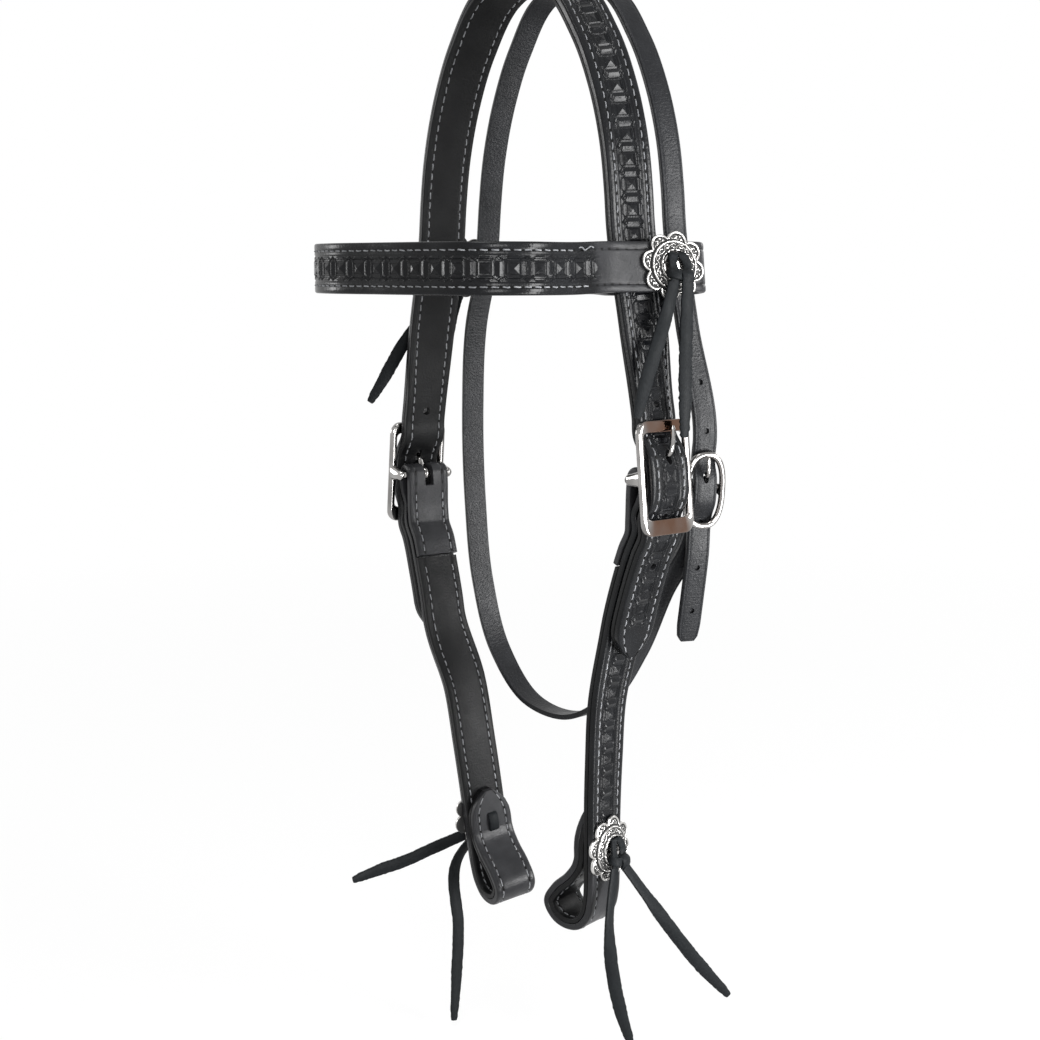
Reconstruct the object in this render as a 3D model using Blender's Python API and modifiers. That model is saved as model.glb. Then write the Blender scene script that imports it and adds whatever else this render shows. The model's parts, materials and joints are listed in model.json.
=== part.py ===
"""Western browband headstall: a doubled crown strap over the poll, a browband looped round it,
a throat latch that runs through the same loops, and two cheekpieces that hang on the centre bars
of their buckles and end in bit loops tied shut by leather strings through engraved conchos.

Frame: +Z up, +X the horse's near (left) side, -Y the forehead. The origin is the poll rest, the
underside of the crown strap at the top of its arch. Lengths are metres and angles are degrees.
"""

import math

import bmesh
import bpy
import numpy as np
from mathutils import Matrix, Vector

# Overall reach of the headstall
HALF_SPREAD = 0.0840
NEAR_DROP = 0.2500
FAR_DROP = 0.2620
BROW_DROP = 0.1450
BROW_DEPTH = 0.1000
BROW_HALF_WIDTH = 0.0700
CHEEK_DROP = 0.2030
BROW_LOOP_SHARE = 0.85
LOOP_LEAN_SHARE = 0.8
NEAR_BIT_OUT = 0.0520
FAR_BIT_OUT = 0.0530
NEAR_BIT_BACK = 0.0000
FAR_BIT_BACK = 0.0180
THROAT_DROP = 0.3960
THROAT_BACK = 0.0310

# Leather
STRAP_WIDTH = 0.0254
OUTER = 0.0036
LINING = 0.0026
SEAM = 0.0003
CLEAR = 0.0004
THROAT_WIDTH = 0.0127
THROAT_LEATHER = 0.0030
EDGE_ROUND = 0.0007
STRAP_GAP = 0.0075
STATION_STEP = 0.0135
STATION_TURN = 19.0
TIP_LENGTH = 0.0170
TIP_STATIONS = 4

# Cheek buckles
BAR_RADIUS = 0.0022
BAR_FIT = 0.0003
BUCKLE_HALF_HEIGHT = 0.0290
BUCKLE_RAIL = 0.0042
BUCKLE_SIDE_ROOM = 0.0010
BUCKLE_TOP_BAR = 0.0062
BUCKLE_FOOT_BAR = 0.0082
BUCKLE_CORNER = 0.0062
BUCKLE_THICK = 0.0038
BUCKLE_LIFT = 0.0072
BUCKLE_EDGE = 0.0011
LUG_RADIUS = 0.0037
LUG_WIDTH = 0.0034
TONGUE_RADIUS = 0.00125
TONGUE_COLLAR = 0.0043
TONGUE_COLLAR_WIDTH = 0.0036
TONGUE_SKEW = 0.0045
NEAR_BILLET = 0.0930
FAR_BILLET = 0.0870
BILLET_HOLE = 0.0022
BILLET_PITCH = 0.0290
BUCKLE_LEAN = 6.0

# Throat latch buckle
OVAL_HALF_HEIGHT = 0.0205
OVAL_SIDE_ROOM = 0.0018
OVAL_RAIL = 0.0033
OVAL_THICK = 0.0032
OVAL_LIFT = 0.0050
OVAL_SQUARENESS = 2.6
OVAL_BAR_RADIUS = 0.0016
OVAL_LUG_RADIUS = 0.0026
OVAL_COLLAR = 0.0031
OVAL_COLLAR_WIDTH = 0.0026
OVAL_TONGUE_RADIUS = 0.0010
OVAL_LEAN = -6.0
OVAL_OUT = 0.0905
OVAL_DROP = 0.2575
THROAT_BILLET_BELOW = 0.0850
THROAT_FLAP = 0.0480
THROAT_HOLE = 0.0016
THROAT_PITCH = 0.0250
THROAT_TIP = 0.0090

# Cheekpiece ends
FLAP_LENGTH = 0.0500
BIT_LOOP_DROP = 0.0430
BIT_LOOP_REACH = 0.0270
BIT_TIP_RISE = 0.0190
SLOT_WIDTH = 0.0054
SLOT_REACH = 0.0085

# Browband loops
LOOP_END_ROOM = 0.0042

# Conchos and their leather strings
CONCHO_RADIUS = 0.0176
CONCHO_PETALS = 8
CONCHO_SCALLOP = 0.11
CONCHO_RIM = 0.0012
CONCHO_CROWN = 0.0042
CONCHO_RING = 0.0112
LACE_WIDTH = 0.0060
LACE_LEATHER = 0.0018
LACE_SPREAD = 0.0052
SLIT_ROOM = 0.0005
KNOT_WIDTH = 0.0120
KNOT_HEIGHT = 0.0110
KNOT_DEPTH = 0.0070
TAIL_WIDTH = 0.0074
TAIL_LEATHER = 0.0020
TAIL_STEP = 0.0120
KNOT_DROP = 0.0040
TAIL_START_SHARE = 0.27
TAIL_STEP_SHARE = 0.55
# How far below each knot its tails start
BROW_KNOT_GAP = 0.0002
BIT_KNOT_GAP = -0.0004
FAR_KNOT_GAP = 0.0019

# Room between the leathers, and how far the cutters reach
LOOP_ROOM = 0.0009
FOLD_GAP = 0.0012
CHEEK_LINING_GAP = 0.0012
BROW_LINING_GAP = 0.0016
BILLET_SLOT = 0.0046
OVAL_SLOT = 0.0032
OVAL_CLEAR = 0.0008
OVAL_SLOT_REACH = 0.0048
CUT_OVERRUN = 0.0040
PUNCH_REACH = 0.0090
SLIT_REACH = 0.0280

# Fineness of the meshes
WELD = 0.00001
LEAST_STATION = 0.0003
APEX_FLAT = 0.0060
FLAT_APART = 0.0015
ROUND_SIDES = 12
HOLE_SIDES = 8
FOLD_STEPS = 6

# How the width of each strap turns about +Z from +Y towards +X, from the far billet to the near one
NEAR_TURN = 22.0
FAR_TURN = 28.0
NEAR_BUCKLE_TURN = 8.0
FAR_BUCKLE_TURN = 14.0
NEAR_BIT_TURN = -4.0
FAR_BIT_TURN = 18.0
NEAR_BIT_SWAY = 0.0
FAR_BIT_SWAY = 8.0
OVAL_TURN = 30.0

# Crown strap: outward and drop, as shares of the half spread and of the side's drop
crown_arch_shares = (
    (0.280, 0.024),
    (0.514, 0.120),
    (0.657, 0.224),
    (0.746, 0.332),
    (0.787, 0.430),
    (0.806, 0.504),
    (0.910, 0.700),
)
# Bit loop, seen along the strap's width: outward over the loop's reach, rise over its drop
bit_loop_shares = (
    (-0.27, -0.24),
    (-0.46, -0.41),
    (-0.80, -0.61),
    (-0.97, -0.80),
    (-0.78, -0.955),
    (-0.54, -1.0),
    (-0.30, -0.975),
    (-0.10, -0.84),
    (-0.02, -0.64),
    (0.00, -0.42),
    (0.00, -0.20),
)
# The cheekpiece's inner end, seen the same way: rise over the end's own length
bit_end_shares = (1.0, 0.5, 0.0, -0.3)
# Cheekpiece above its bit loop: outward over the loop's reach, drop over the cheekpiece's drop
cheek_run_shares = (
    (0.10, 0.600),
    (0.03, 0.760),
    (0.00, 0.900),
)
# The cheekpiece beside the billet: distances below the bar over the billet's length below it
leg_shares = (0.09, 0.16, 0.23, 0.31, 0.40, 0.50, 0.60, 0.70, 0.80, 0.90, 1.0)
# The flap beside the cheekpiece: distances below the bar over the flap's length
flap_shares = (0.46, 0.60, 0.80, 1.0)
# Each loop's inner end, under the band: distances past the crown strap over the strap's width
loop_end_shares = (0.95, 0.60)
# A loop's long sides: from the band towards its end over the strap's width, then over the turn
loop_start_shares = (-0.55, 0.0)
loop_side_shares = (0.5, 0.85)
# Where the inner end crosses under the band: across over the strap's width, in over the loop's depth
LOOP_CROSS_SHARE = -0.80
LOOP_SINK_SHARE = -0.30
# Browband between its loops: outward over the half width, forward over the depth
brow_run_shares = (
    (0.99, 0.46),
    (0.94, 0.74),
    (0.70, 0.94),
    (0.30, 0.99),
    (-0.20, 1.00),
    (-0.66, 0.99),
    (-1.02, 0.87),
    (-1.20, 0.62),
    (-1.20, 0.36),
)
# Throat latch below the far browband loop: outward over the half spread, back, and drop
throat_run_shares = (
    (-0.673, 0.760, 0.366),
    (-0.780, 0.800, 0.445),
    (-0.865, 0.930, 0.565),
    (-0.870, 1.000, 0.707),
    (-0.80, 1.00, 0.825),
    (-0.63, 1.00, 0.925),
    (-0.33, 1.00, 0.990),
    (0.02, 1.00, 1.000),
    (0.33, 1.00, 0.968),
    (0.60, 1.00, 0.890),
    (0.80, 1.00, 0.800),
)
# The throat latch beside its billet: distances below the bar over the buckle's half height
throat_leg_shares = (1.15, 0.775, 0.45)
throat_flap_shares = (0.32, 0.54, 0.78, 1.0)
# Crown billet through its buckle: along over the half height, height over the rail's level to the bulge
billet_bulge_shares = (
    (1.38, -0.12),
    (1.04, 0.0),
    (0.78, -0.03),
    (0.34, 0.86),
    (0.0, 1.0),
    (-0.34, 0.86),
    (-0.71, -0.05),
    (-0.99, -0.08),
)
# The billet's hanging end: along over its length below the bar, inward from the rail's level over it
billet_hang_shares = ((-0.41, 0.070), (-0.62, 0.180), (-0.82, 0.268), (-1.0, 0.330))
oval_bulge_shares = ((1.30, 0.10), (0.66, 0.0), (0.30, 0.86), (0.0, 1.0), (-0.30, 0.86), (-0.68, 0.0))
oval_hang_shares = ((-0.42, 0.010), (-0.72, 0.050), (-1.0, 0.095))
# A lug's block within its round ear, and the oval buckle's ear over its rail
LUG_BLOCK_WIDTH_SHARE = 0.98
LUG_BLOCK_HEIGHT_SHARE = 0.97
OVAL_LUG_SHARE = 0.8
# A tongue: skew over its own, height over the buckle's, outward over the strap's bulge
tongue_shares = (
    (0.0, 0.10, 0.25),
    (0.0, 0.265, 0.55),
    (0.0, 0.345, 0.92),
    (0.0, 0.39, 1.30),
    (0.10, 0.47, 1.46),
    (0.40, 0.62, 1.44),
)
TONGUE_TIP_SHARE = 0.885
TONGUE_HOLE_SHARE = 0.325
# A concho's dome: radius over the ring's, height over the crown's; then its petals over its own
concho_dome_shares = ((0.0, 1.0), (0.46, 0.94), (0.86, 0.62), (1.0, 0.50), (1.06, 0.34))
CONCHO_PETAL_SHARE = 0.90
CONCHO_PETAL_RISE_SHARE = 0.44
CONCHO_FOOT_SHARE = 0.97
CONCHO_SCALLOP_SHARE = 1.1
# The string over the concho, behind the leather and at its other end: height over the string's
# thickness from the concho's top or the leather's back, and rise over the slits' spread
lace_over_shares = ((2.2, -1.10), (2.0, 0.35), (1.0, 0.94), (-0.5, 1.0))
lace_turn_shares = ((-0.5, 1.0), (0.35, 0.90))
lace_end_shares = ((0.0, -1.0), (0.7, -1.08))
LACE_BRIDGE_SHARE = 0.60
# A string's tail: share of its length, and width there
tail_shares = ((0.0, 0.86), (0.25, 1.0), (0.75, 1.0), (1.0, 0.62))
# Pointed end of a strap: distance from the point over the tip's length, and width share there
tip_shares = ((0.0, 0.20), (0.16, 0.48), (0.42, 0.76), (0.72, 0.95), (1.0, 1.0))
blunt_shares = ((0.0, 0.62), (0.25, 0.88), (1.0, 1.0))

for leftover in list(bpy.data.objects):
    bpy.data.objects.remove(leftover, do_unlink=True)

parts = bpy.data.collections.new("western_headstall")
cutters = bpy.data.collections.new("cutters")
bpy.context.scene.collection.children.link(parts)
bpy.context.scene.collection.children.link(cutters)
cutters.hide_render = True


def finish(name, colour, roughness, metallic=0.0):
    """A plain Principled material."""
    material = bpy.data.materials.new(name)
    material.use_nodes = True
    shader = material.node_tree.nodes["Principled BSDF"]
    shader.inputs["Base Color"].default_value = (*colour, 1.0)
    shader.inputs["Roughness"].default_value = roughness
    shader.inputs["Metallic"].default_value = metallic
    return material


def add_part(name, mesh, colour, roughness, metallic=0.0):
    """A named object of the headstall, with a material of its own."""
    made = bpy.data.objects.new(name, mesh)
    parts.objects.link(made)
    if not mesh.materials:
        mesh.materials.append(finish(name, colour, roughness, metallic))
    return made


def leather_part(name, mesh):
    return add_part(name, mesh, (0.012, 0.013, 0.015), 0.45)


def lining_part(name, mesh):
    return add_part(name, mesh, (0.020, 0.019, 0.019), 0.60)


def lace_part(name, mesh):
    return add_part(name, mesh, (0.022, 0.024, 0.026), 0.70)


def metal_part(name, mesh):
    return add_part(name, mesh, (0.62, 0.60, 0.57), 0.25, 1.0)


def add_cutter(name, mesh):
    made = bpy.data.objects.new(name, mesh)
    cutters.objects.link(made)
    made.hide_render = True
    made.display_type = "WIRE"
    return made


def boolean(target, other, operation):
    step = target.modifiers.new(other.name, "BOOLEAN")
    step.operation = operation
    step.solver = "EXACT"
    step.object = other


def mesh_of(bm, name, smooth=True):
    mesh = bpy.data.meshes.new(name)
    bmesh.ops.recalc_face_normals(bm, faces=bm.faces)
    bm.to_mesh(mesh)
    bm.free()
    if smooth:
        mesh.shade_smooth()
        mesh.set_sharp_from_angle(angle=math.radians(40.0))
    return mesh


def hang_from(pieces, name, place):
    """An empty on a joint's axis that carries the pieces that move with it."""
    hinge = bpy.data.objects.new(name, None)
    parts.objects.link(hinge)
    hinge.location = place
    for piece in pieces:
        piece.parent = hinge
        piece.matrix_parent_inverse = Matrix.Translation(place).inverted()


def facing(turn):
    """A level direction turned about +Z from +Y towards +X."""
    turn = math.radians(turn)
    return (math.sin(turn), math.cos(turn), 0.0)


class Seat:
    """A place on the headstall: across the strap, up along it, and out of its outer face."""

    def __init__(self, origin, side, turn, lean=0.0, sway=0.0):
        self.degrees = turn
        turn = math.radians(turn)
        lean = math.radians(lean)
        sway = math.radians(sway)
        self.origin = np.array(origin, float)
        self.side = side
        flat_out = side * np.array((math.cos(turn), -math.sin(turn), 0.0))
        rise = np.array((0.0, 0.0, 1.0))
        level = np.array(facing(self.degrees))
        upright = math.cos(lean) * rise - math.sin(lean) * flat_out
        self.wide = math.cos(sway) * level + math.sin(sway) * upright
        self.up = math.cos(sway) * upright - math.sin(sway) * level
        self.out = math.cos(lean) * flat_out + math.sin(lean) * rise

    def at(self, across, along, outward):
        return self.origin + across * self.wide + along * self.up + outward * self.out

    def row(self, across, along, outward):
        """A control point of a strap, with the direction of its width."""
        return (*self.at(across, along, outward), *self.wide)

    def standing(self, across, outward):
        """A control point of a band that lies across the seat, its width along the seat."""
        return (*self.at(across, 0.0, outward), *self.up)

    def matrix(self, across=0.0, outward=0.0):
        """Local X across, Y up and Z out, right-handed on either side."""
        wide = np.cross(self.up, self.out)
        place = self.origin + across * wide + outward * self.out
        axes = Matrix.Identity(4)
        for column, axis in enumerate((wide, self.up, self.out, place)):
            for line in range(3):
                axes[line][column] = axis[line]
        return axes


def smooth_curve(points, fine=14):
    """Points along a Hermite curve through the control points, spaced by chord."""
    points = np.array(points, float)
    chords = np.linalg.norm(np.diff(points[:, :3], axis=0), axis=1)
    knots = np.concatenate([[0.0], np.cumsum(chords)])
    slopes = np.gradient(points, knots, axis=0)
    found = []
    for i, span in enumerate(chords):
        for share in np.arange(fine) / fine:
            a = 2 * share**3 - 3 * share**2 + 1
            b = share**3 - 2 * share**2 + share
            c = 3 * share**2 - 2 * share**3
            d = share**3 - share**2
            bent = (b * slopes[i] + d * slopes[i + 1]) * span
            found.append(a * points[i] + c * points[i + 1] + bent)
    found.append(points[-1])
    return np.array(found)


def distances(curve):
    return np.concatenate([[0.0], np.cumsum(np.linalg.norm(np.diff(curve[:, :3], axis=0), axis=1))])


class Run:
    """A strap's run: a smooth path of places and width directions, measured along itself."""

    def __init__(self, rows, hand=1, tips=(0.0, 0.0), flats=()):
        self.hand = hand
        self.curve = smooth_curve(rows)
        self.along = distances(self.curve)
        self.length = self.along[-1]
        self.flats = []
        for first, last in flats:
            self.flats.append(sorted((self.nearest(first), self.nearest(last))))
        self.marks = self.stations(tips)

    def stations(self, tips):
        heading = np.gradient(self.curve[:, :3], self.along, axis=0)
        heading /= np.linalg.norm(heading, axis=1)[:, None]
        turned = np.arccos(np.clip((heading[:-1] * heading[1:]).sum(axis=1), -1.0, 1.0))
        spans = np.diff(self.along)
        weight = spans / STATION_STEP + turned / math.radians(STATION_TURN)
        middle = (self.along[:-1] + self.along[1:]) / 2
        for tip, past in ((tips[0], middle), (tips[1], self.length - middle)):
            if tip:
                weight += np.where(past < tip, spans / tip * TIP_STATIONS, 0.0)
        measure = np.concatenate([[0.0], np.cumsum(weight)])
        count = max(4, math.ceil(measure[-1]))
        marks = np.interp(np.linspace(0.0, measure[-1], count + 1), measure, self.along)
        for first, last in self.flats:
            apart = (marks < first - FLAT_APART) | (marks > last + FLAT_APART)
            marks = np.sort(np.concatenate([marks[apart], [first, last]]))
        return marks

    def frame(self, marks):
        """Position, width direction and outward normal at distances along the run."""
        marks = np.atleast_1d(np.array(marks, float))
        at = self.point(marks)
        ahead = np.minimum(marks + SEAM, self.length)
        behind = np.maximum(marks - SEAM, 0.0)
        heading = np.stack(
            [
                np.interp(ahead, self.along, self.curve[:, k])
                - np.interp(behind, self.along, self.curve[:, k])
                for k in range(3)
            ],
            axis=1,
        )
        for first, last in self.flats:
            ends = np.stack([self.point(first), self.point(last)])
            on_flat = (marks > first - SEAM) & (marks < last + SEAM)
            heading[on_flat] = ends[1, :3] - ends[0, :3]
            at[on_flat, 3:] = ends[:, 3:].mean(axis=0)
        heading /= np.linalg.norm(heading, axis=1)[:, None]
        wide = self.hand * at[:, 3:]
        wide -= (wide * heading).sum(axis=1)[:, None] * heading
        wide /= np.linalg.norm(wide, axis=1)[:, None]
        return at[:, :3], wide, np.cross(wide, heading)

    def point(self, mark):
        return np.stack([np.interp(mark, self.along, column) for column in self.curve.T], axis=-1)

    def nearest(self, place):
        """The distance along the run of the point nearest to a place."""
        gaps = np.linalg.norm(self.curve[:, :3] - np.array(place)[:3], axis=1)
        return self.along[gaps.argmin()]

    def rows_beside(self, marks, amount):
        """Control points of another strap that lies this far under the run."""
        spot, _, out = self.frame(marks)
        return np.hstack([spot - out * amount, self.point(marks)[:, 3:]]).tolist()

    def matrix(self, mark, outward=0.0):
        """Local X across, Y along the run and Z out, at a distance along the run."""
        spot, wide, out = (found[0] for found in self.frame(mark))
        along = np.cross(out, wide)
        axes = Matrix.Identity(4)
        for column, axis in enumerate((wide, along, out, spot + out * outward)):
            for line in range(3):
                axes[line][column] = axis[line]
        return axes


def width_share(distance, tip, shares):
    if not tip:
        return np.ones_like(distance)
    table = np.array(shares)
    return np.interp(distance / tip, table[:, 0], table[:, 1])


class Layer:
    """One leather of a run, between two heights over the run's own surface."""

    def __init__(self, run, low, high):
        self.run = run
        self.middle = (low + high) / 2
        self.thickness = high - low

    def make(self, name, build, width, first, last, tips=(0.0, 0.0), shape=tip_shares, rounded=True):
        kept = (self.run.marks > first) & (self.run.marks < last)
        marks = np.concatenate([[first], self.run.marks[kept], [last]])
        wide_enough = np.concatenate([[True], np.diff(marks) > LEAST_STATION])
        marks = marks[wide_enough]
        marks[-1] = last
        spot, wide, out = self.run.frame(marks)
        half = width / 2 * np.minimum(
            width_share(marks - first, tips[0], shape),
            width_share(last - marks, tips[1], shape),
        )
        centre = spot + out * self.middle
        mesh = ribbon_mesh(name, centre, wide, half)
        piece = build(name, mesh)
        thick = piece.modifiers.new("leather", "SOLIDIFY")
        thick.thickness = self.thickness
        thick.offset = 0.0
        thick.use_even_offset = True
        if rounded:
            edge = piece.modifiers.new("edge", "BEVEL")
            edge.width = EDGE_ROUND
            edge.segments = 1
            edge.limit_method = "ANGLE"
            edge.angle_limit = math.radians(60.0)
        return piece


def ribbon_mesh(name, centre, wide, half):
    """A ribbon one face wide, from a grid whose corners are set by the stations."""
    count = len(centre)
    bm = bmesh.new()
    bmesh.ops.create_grid(bm, x_segments=count - 1, y_segments=1, size=1.0)
    for vert in bm.verts:
        station = round((vert.co.x + 1) / 2 * (count - 1))
        edge = 1.0 if vert.co.y > 0 else -1.0
        vert.co = Vector(centre[station] + edge * half[station] * wide[station])
    mesh = bpy.data.meshes.new(name)
    bm.to_mesh(mesh)
    bm.free()
    return mesh


def punch_cutter(name, punches):
    """Oval punches: (matrix, half width, half length, reach each way) each."""
    bm = bmesh.new()
    for matrix, half_width, half_length, reach in punches:
        bmesh.ops.create_cone(
            bm,
            cap_ends=True,
            segments=HOLE_SIDES,
            radius1=1.0,
            radius2=1.0,
            depth=2.0,
            matrix=matrix @ Matrix.Diagonal((half_width, half_length, reach, 1.0)),
        )
    return add_cutter(name, mesh_of(bm, name, smooth=False))


def box_mesh(name, boxes):
    """Boxes given by a matrix and their three sides."""
    bm = bmesh.new()
    for matrix, sides in boxes:
        bmesh.ops.create_cube(bm, size=1.0, matrix=matrix @ Matrix.Diagonal((*sides, 1.0)))
    return mesh_of(bm, name, smooth=False)


def rod_mesh(name, radius, length, sides=ROUND_SIDES):
    """A rod along its own X."""
    bm = bmesh.new()
    turn = Matrix.Rotation(math.radians(90.0), 4, "Y")
    bmesh.ops.create_cone(
        bm, cap_ends=True, segments=sides, radius1=radius, radius2=radius, depth=length, matrix=turn
    )
    return mesh_of(bm, name)


def tube_mesh(name, points, radius):
    """A round bar along a few points, from a curve with filled caps."""
    curve = bpy.data.curves.new(name, "CURVE")
    curve.dimensions = "3D"
    curve.bevel_depth = radius
    curve.bevel_resolution = 1
    curve.use_fill_caps = True
    spline = curve.splines.new("POLY")
    spline.points.add(len(points) - 1)
    for point, place in zip(spline.points, points):
        point.co = (*place, 1.0)
    return settled_mesh(curve, name)


def settled_mesh(curve, name):
    """The curve as a closed mesh, with its caps welded."""
    guide = bpy.data.objects.new(name, curve)
    parts.objects.link(guide)
    graph = bpy.context.evaluated_depsgraph_get()
    mesh = bpy.data.meshes.new_from_object(guide.evaluated_get(graph))
    bpy.data.objects.remove(guide, do_unlink=True)
    bm = bmesh.new()
    bm.from_mesh(mesh)
    bmesh.ops.remove_doubles(bm, verts=bm.verts, dist=WELD)
    bpy.data.meshes.remove(mesh)
    return mesh_of(bm, name)


def plate_mesh(name, outlines, thick, edge):
    """A flat casting: outlines filled as a 2D curve, with its edges rounded."""
    curve = bpy.data.curves.new(name, "CURVE")
    curve.dimensions = "2D"
    curve.fill_mode = "BOTH"
    curve.extrude = thick / 2 - edge
    curve.bevel_depth = edge
    curve.bevel_resolution = 0
    curve.offset = -edge
    for outline in outlines:
        spline = curve.splines.new("POLY")
        spline.points.add(len(outline) - 1)
        spline.use_cyclic_u = True
        for point, (x, y) in zip(spline.points, outline):
            point.co = (x, y, 0.0, 1.0)
    return settled_mesh(curve, name)


def rounded_box_outline(half_width, low, high, corner, steps=3):
    middle = (low + high) / 2
    reach = (high - low) / 2
    found = []
    for quarter in range(4):
        x = (half_width - corner) * (1 if quarter in (0, 3) else -1)
        y = middle + (reach - corner) * (1 if quarter in (0, 1) else -1)
        for step in range(steps + 1):
            angle = math.radians(90.0 * (quarter + step / steps))
            found.append((x + corner * math.cos(angle), y + corner * math.sin(angle)))
    return found


def oval_outline(half_width, half_height, steps=28):
    """A superellipse, fuller at its shoulders than an ellipse."""
    power = 2 / OVAL_SQUARENESS
    found = []
    for step in range(steps):
        angle = 2 * math.pi * step / steps
        x, y = math.cos(angle), math.sin(angle)
        found.append(
            (
                math.copysign(abs(x) ** power, x) * half_width,
                math.copysign(abs(y) ** power, y) * half_height,
            )
        )
    return found


def lug_pair(name, inner, width, radius, lift):
    """Two ears on the back of a buckle, each a round end on a block that meets the frame."""
    bm = bmesh.new()
    turn = Matrix.Rotation(math.radians(90.0), 4, "Y")
    for side in (-1, 1):
        place = Matrix.Translation((side * (inner + width / 2), 0.0, 0.0))
        bmesh.ops.create_cone(
            bm,
            cap_ends=True,
            segments=ROUND_SIDES,
            radius1=radius,
            radius2=radius,
            depth=width,
            matrix=place @ turn,
        )
    ears = add_cutter(name + "_ears", mesh_of(bm, name + "_ears", smooth=False))
    boxes = []
    for side in (-1, 1):
        place = Matrix.Translation((side * (inner + width / 2), 0.0, lift / 2))
        sides = (width * LUG_BLOCK_WIDTH_SHARE, 2 * radius * LUG_BLOCK_HEIGHT_SHARE, lift)
        boxes.append((place, sides))
    blocks = add_cutter(name + "_blocks", box_mesh(name + "_blocks", boxes))
    return ears, blocks


def buckle(name, seat, sizes):
    """A cast frame with a pin behind it and a tongue that turns on the pin."""
    plate = plate_mesh(name + "_frame", sizes["outlines"], sizes["thick"], sizes["edge"])
    plate.transform(Matrix.Translation((0.0, 0.0, sizes["lift"] + sizes["thick"] / 2)))
    frame = metal_part(name + "_frame", plate)
    frame.matrix_world = seat.matrix()
    lugs = lug_pair(
        name, sizes["lug_inner"], sizes["lug_width"], sizes["lug_radius"], sizes["lug_lift"]
    )
    for lug in lugs:
        lug.matrix_world = seat.matrix()
        boolean(frame, lug, "UNION")
    reach = sizes["lug_inner"] + sizes["lug_width"]
    bore_mesh = rod_mesh(name + "_bore", sizes["bar"] + BAR_FIT, 2 * reach + CUT_OVERRUN)
    bore = add_cutter(name + "_bore", bore_mesh)
    bore.matrix_world = seat.matrix()
    boolean(frame, bore, "DIFFERENCE")
    pin = metal_part(name + "_center_bar", rod_mesh(name + "_center_bar", sizes["bar"], 2 * reach))
    pin.matrix_world = seat.matrix()
    tongue_mesh = tube_mesh(name + "_tongue", sizes["tongue"], sizes["tongue_radius"])
    tongue = metal_part(name + "_tongue", tongue_mesh)
    collar_mesh = rod_mesh(name + "_collar", sizes["collar"], sizes["collar_width"])
    collar = add_cutter(name + "_collar", collar_mesh)
    eye = add_cutter(name + "_eye", rod_mesh(name + "_eye", sizes["bar"] + BAR_FIT, 2 * reach))
    for piece in (tongue, collar, eye):
        piece.matrix_world = seat.matrix()
    boolean(tongue, collar, "UNION")
    boolean(tongue, eye, "DIFFERENCE")
    return frame, pin, tongue


def concho_mesh():
    """A scalloped disc with a raised ring and a domed middle, turned and then drawn in at its petals."""
    profile = [(out * CONCHO_RING, up * CONCHO_CROWN) for out, up in concho_dome_shares]
    profile += [
        (CONCHO_PETAL_SHARE * CONCHO_RADIUS, CONCHO_PETAL_RISE_SHARE * CONCHO_CROWN),
        (CONCHO_RADIUS, CONCHO_RIM / 2),
        (CONCHO_FOOT_SHARE * CONCHO_RADIUS, 0.0),
        (0.0, 0.0),
    ]
    bm = bmesh.new()
    line = [bm.verts.new((radius, 0.0, height)) for radius, height in profile]
    edges = [bm.edges.new(pair) for pair in zip(line[:-1], line[1:])]
    bmesh.ops.spin(
        bm,
        geom=line + edges,
        cent=(0.0, 0.0, 0.0),
        axis=(0.0, 0.0, 1.0),
        angle=2 * math.pi,
        steps=4 * CONCHO_PETALS,
        use_merge=True,
    )
    bmesh.ops.remove_doubles(bm, verts=bm.verts, dist=WELD)
    for vert in bm.verts:
        radius = math.hypot(vert.co.x, vert.co.y)
        if radius <= CONCHO_RING * CONCHO_SCALLOP_SHARE:
            continue
        angle = math.atan2(vert.co.y, vert.co.x)
        petal = math.sqrt(abs(math.sin(CONCHO_PETALS / 2 * angle)))
        drawn = 1 - CONCHO_SCALLOP * (1 - petal)
        vert.co.x *= drawn
        vert.co.y *= drawn
    return mesh_of(bm, "concho")


def slit_boxes(matrix, depth):
    """Two slits across a strap, above and below a concho's middle, for the leather string."""
    boxes = []
    for side in (-1, 1):
        place = matrix @ Matrix.Translation((0.0, side * LACE_SPREAD, 0.0))
        sides = (LACE_WIDTH + 2 * SLIT_ROOM, LACE_LEATHER + 2 * SLIT_ROOM, depth)
        boxes.append((place, sides))
    return boxes


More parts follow.
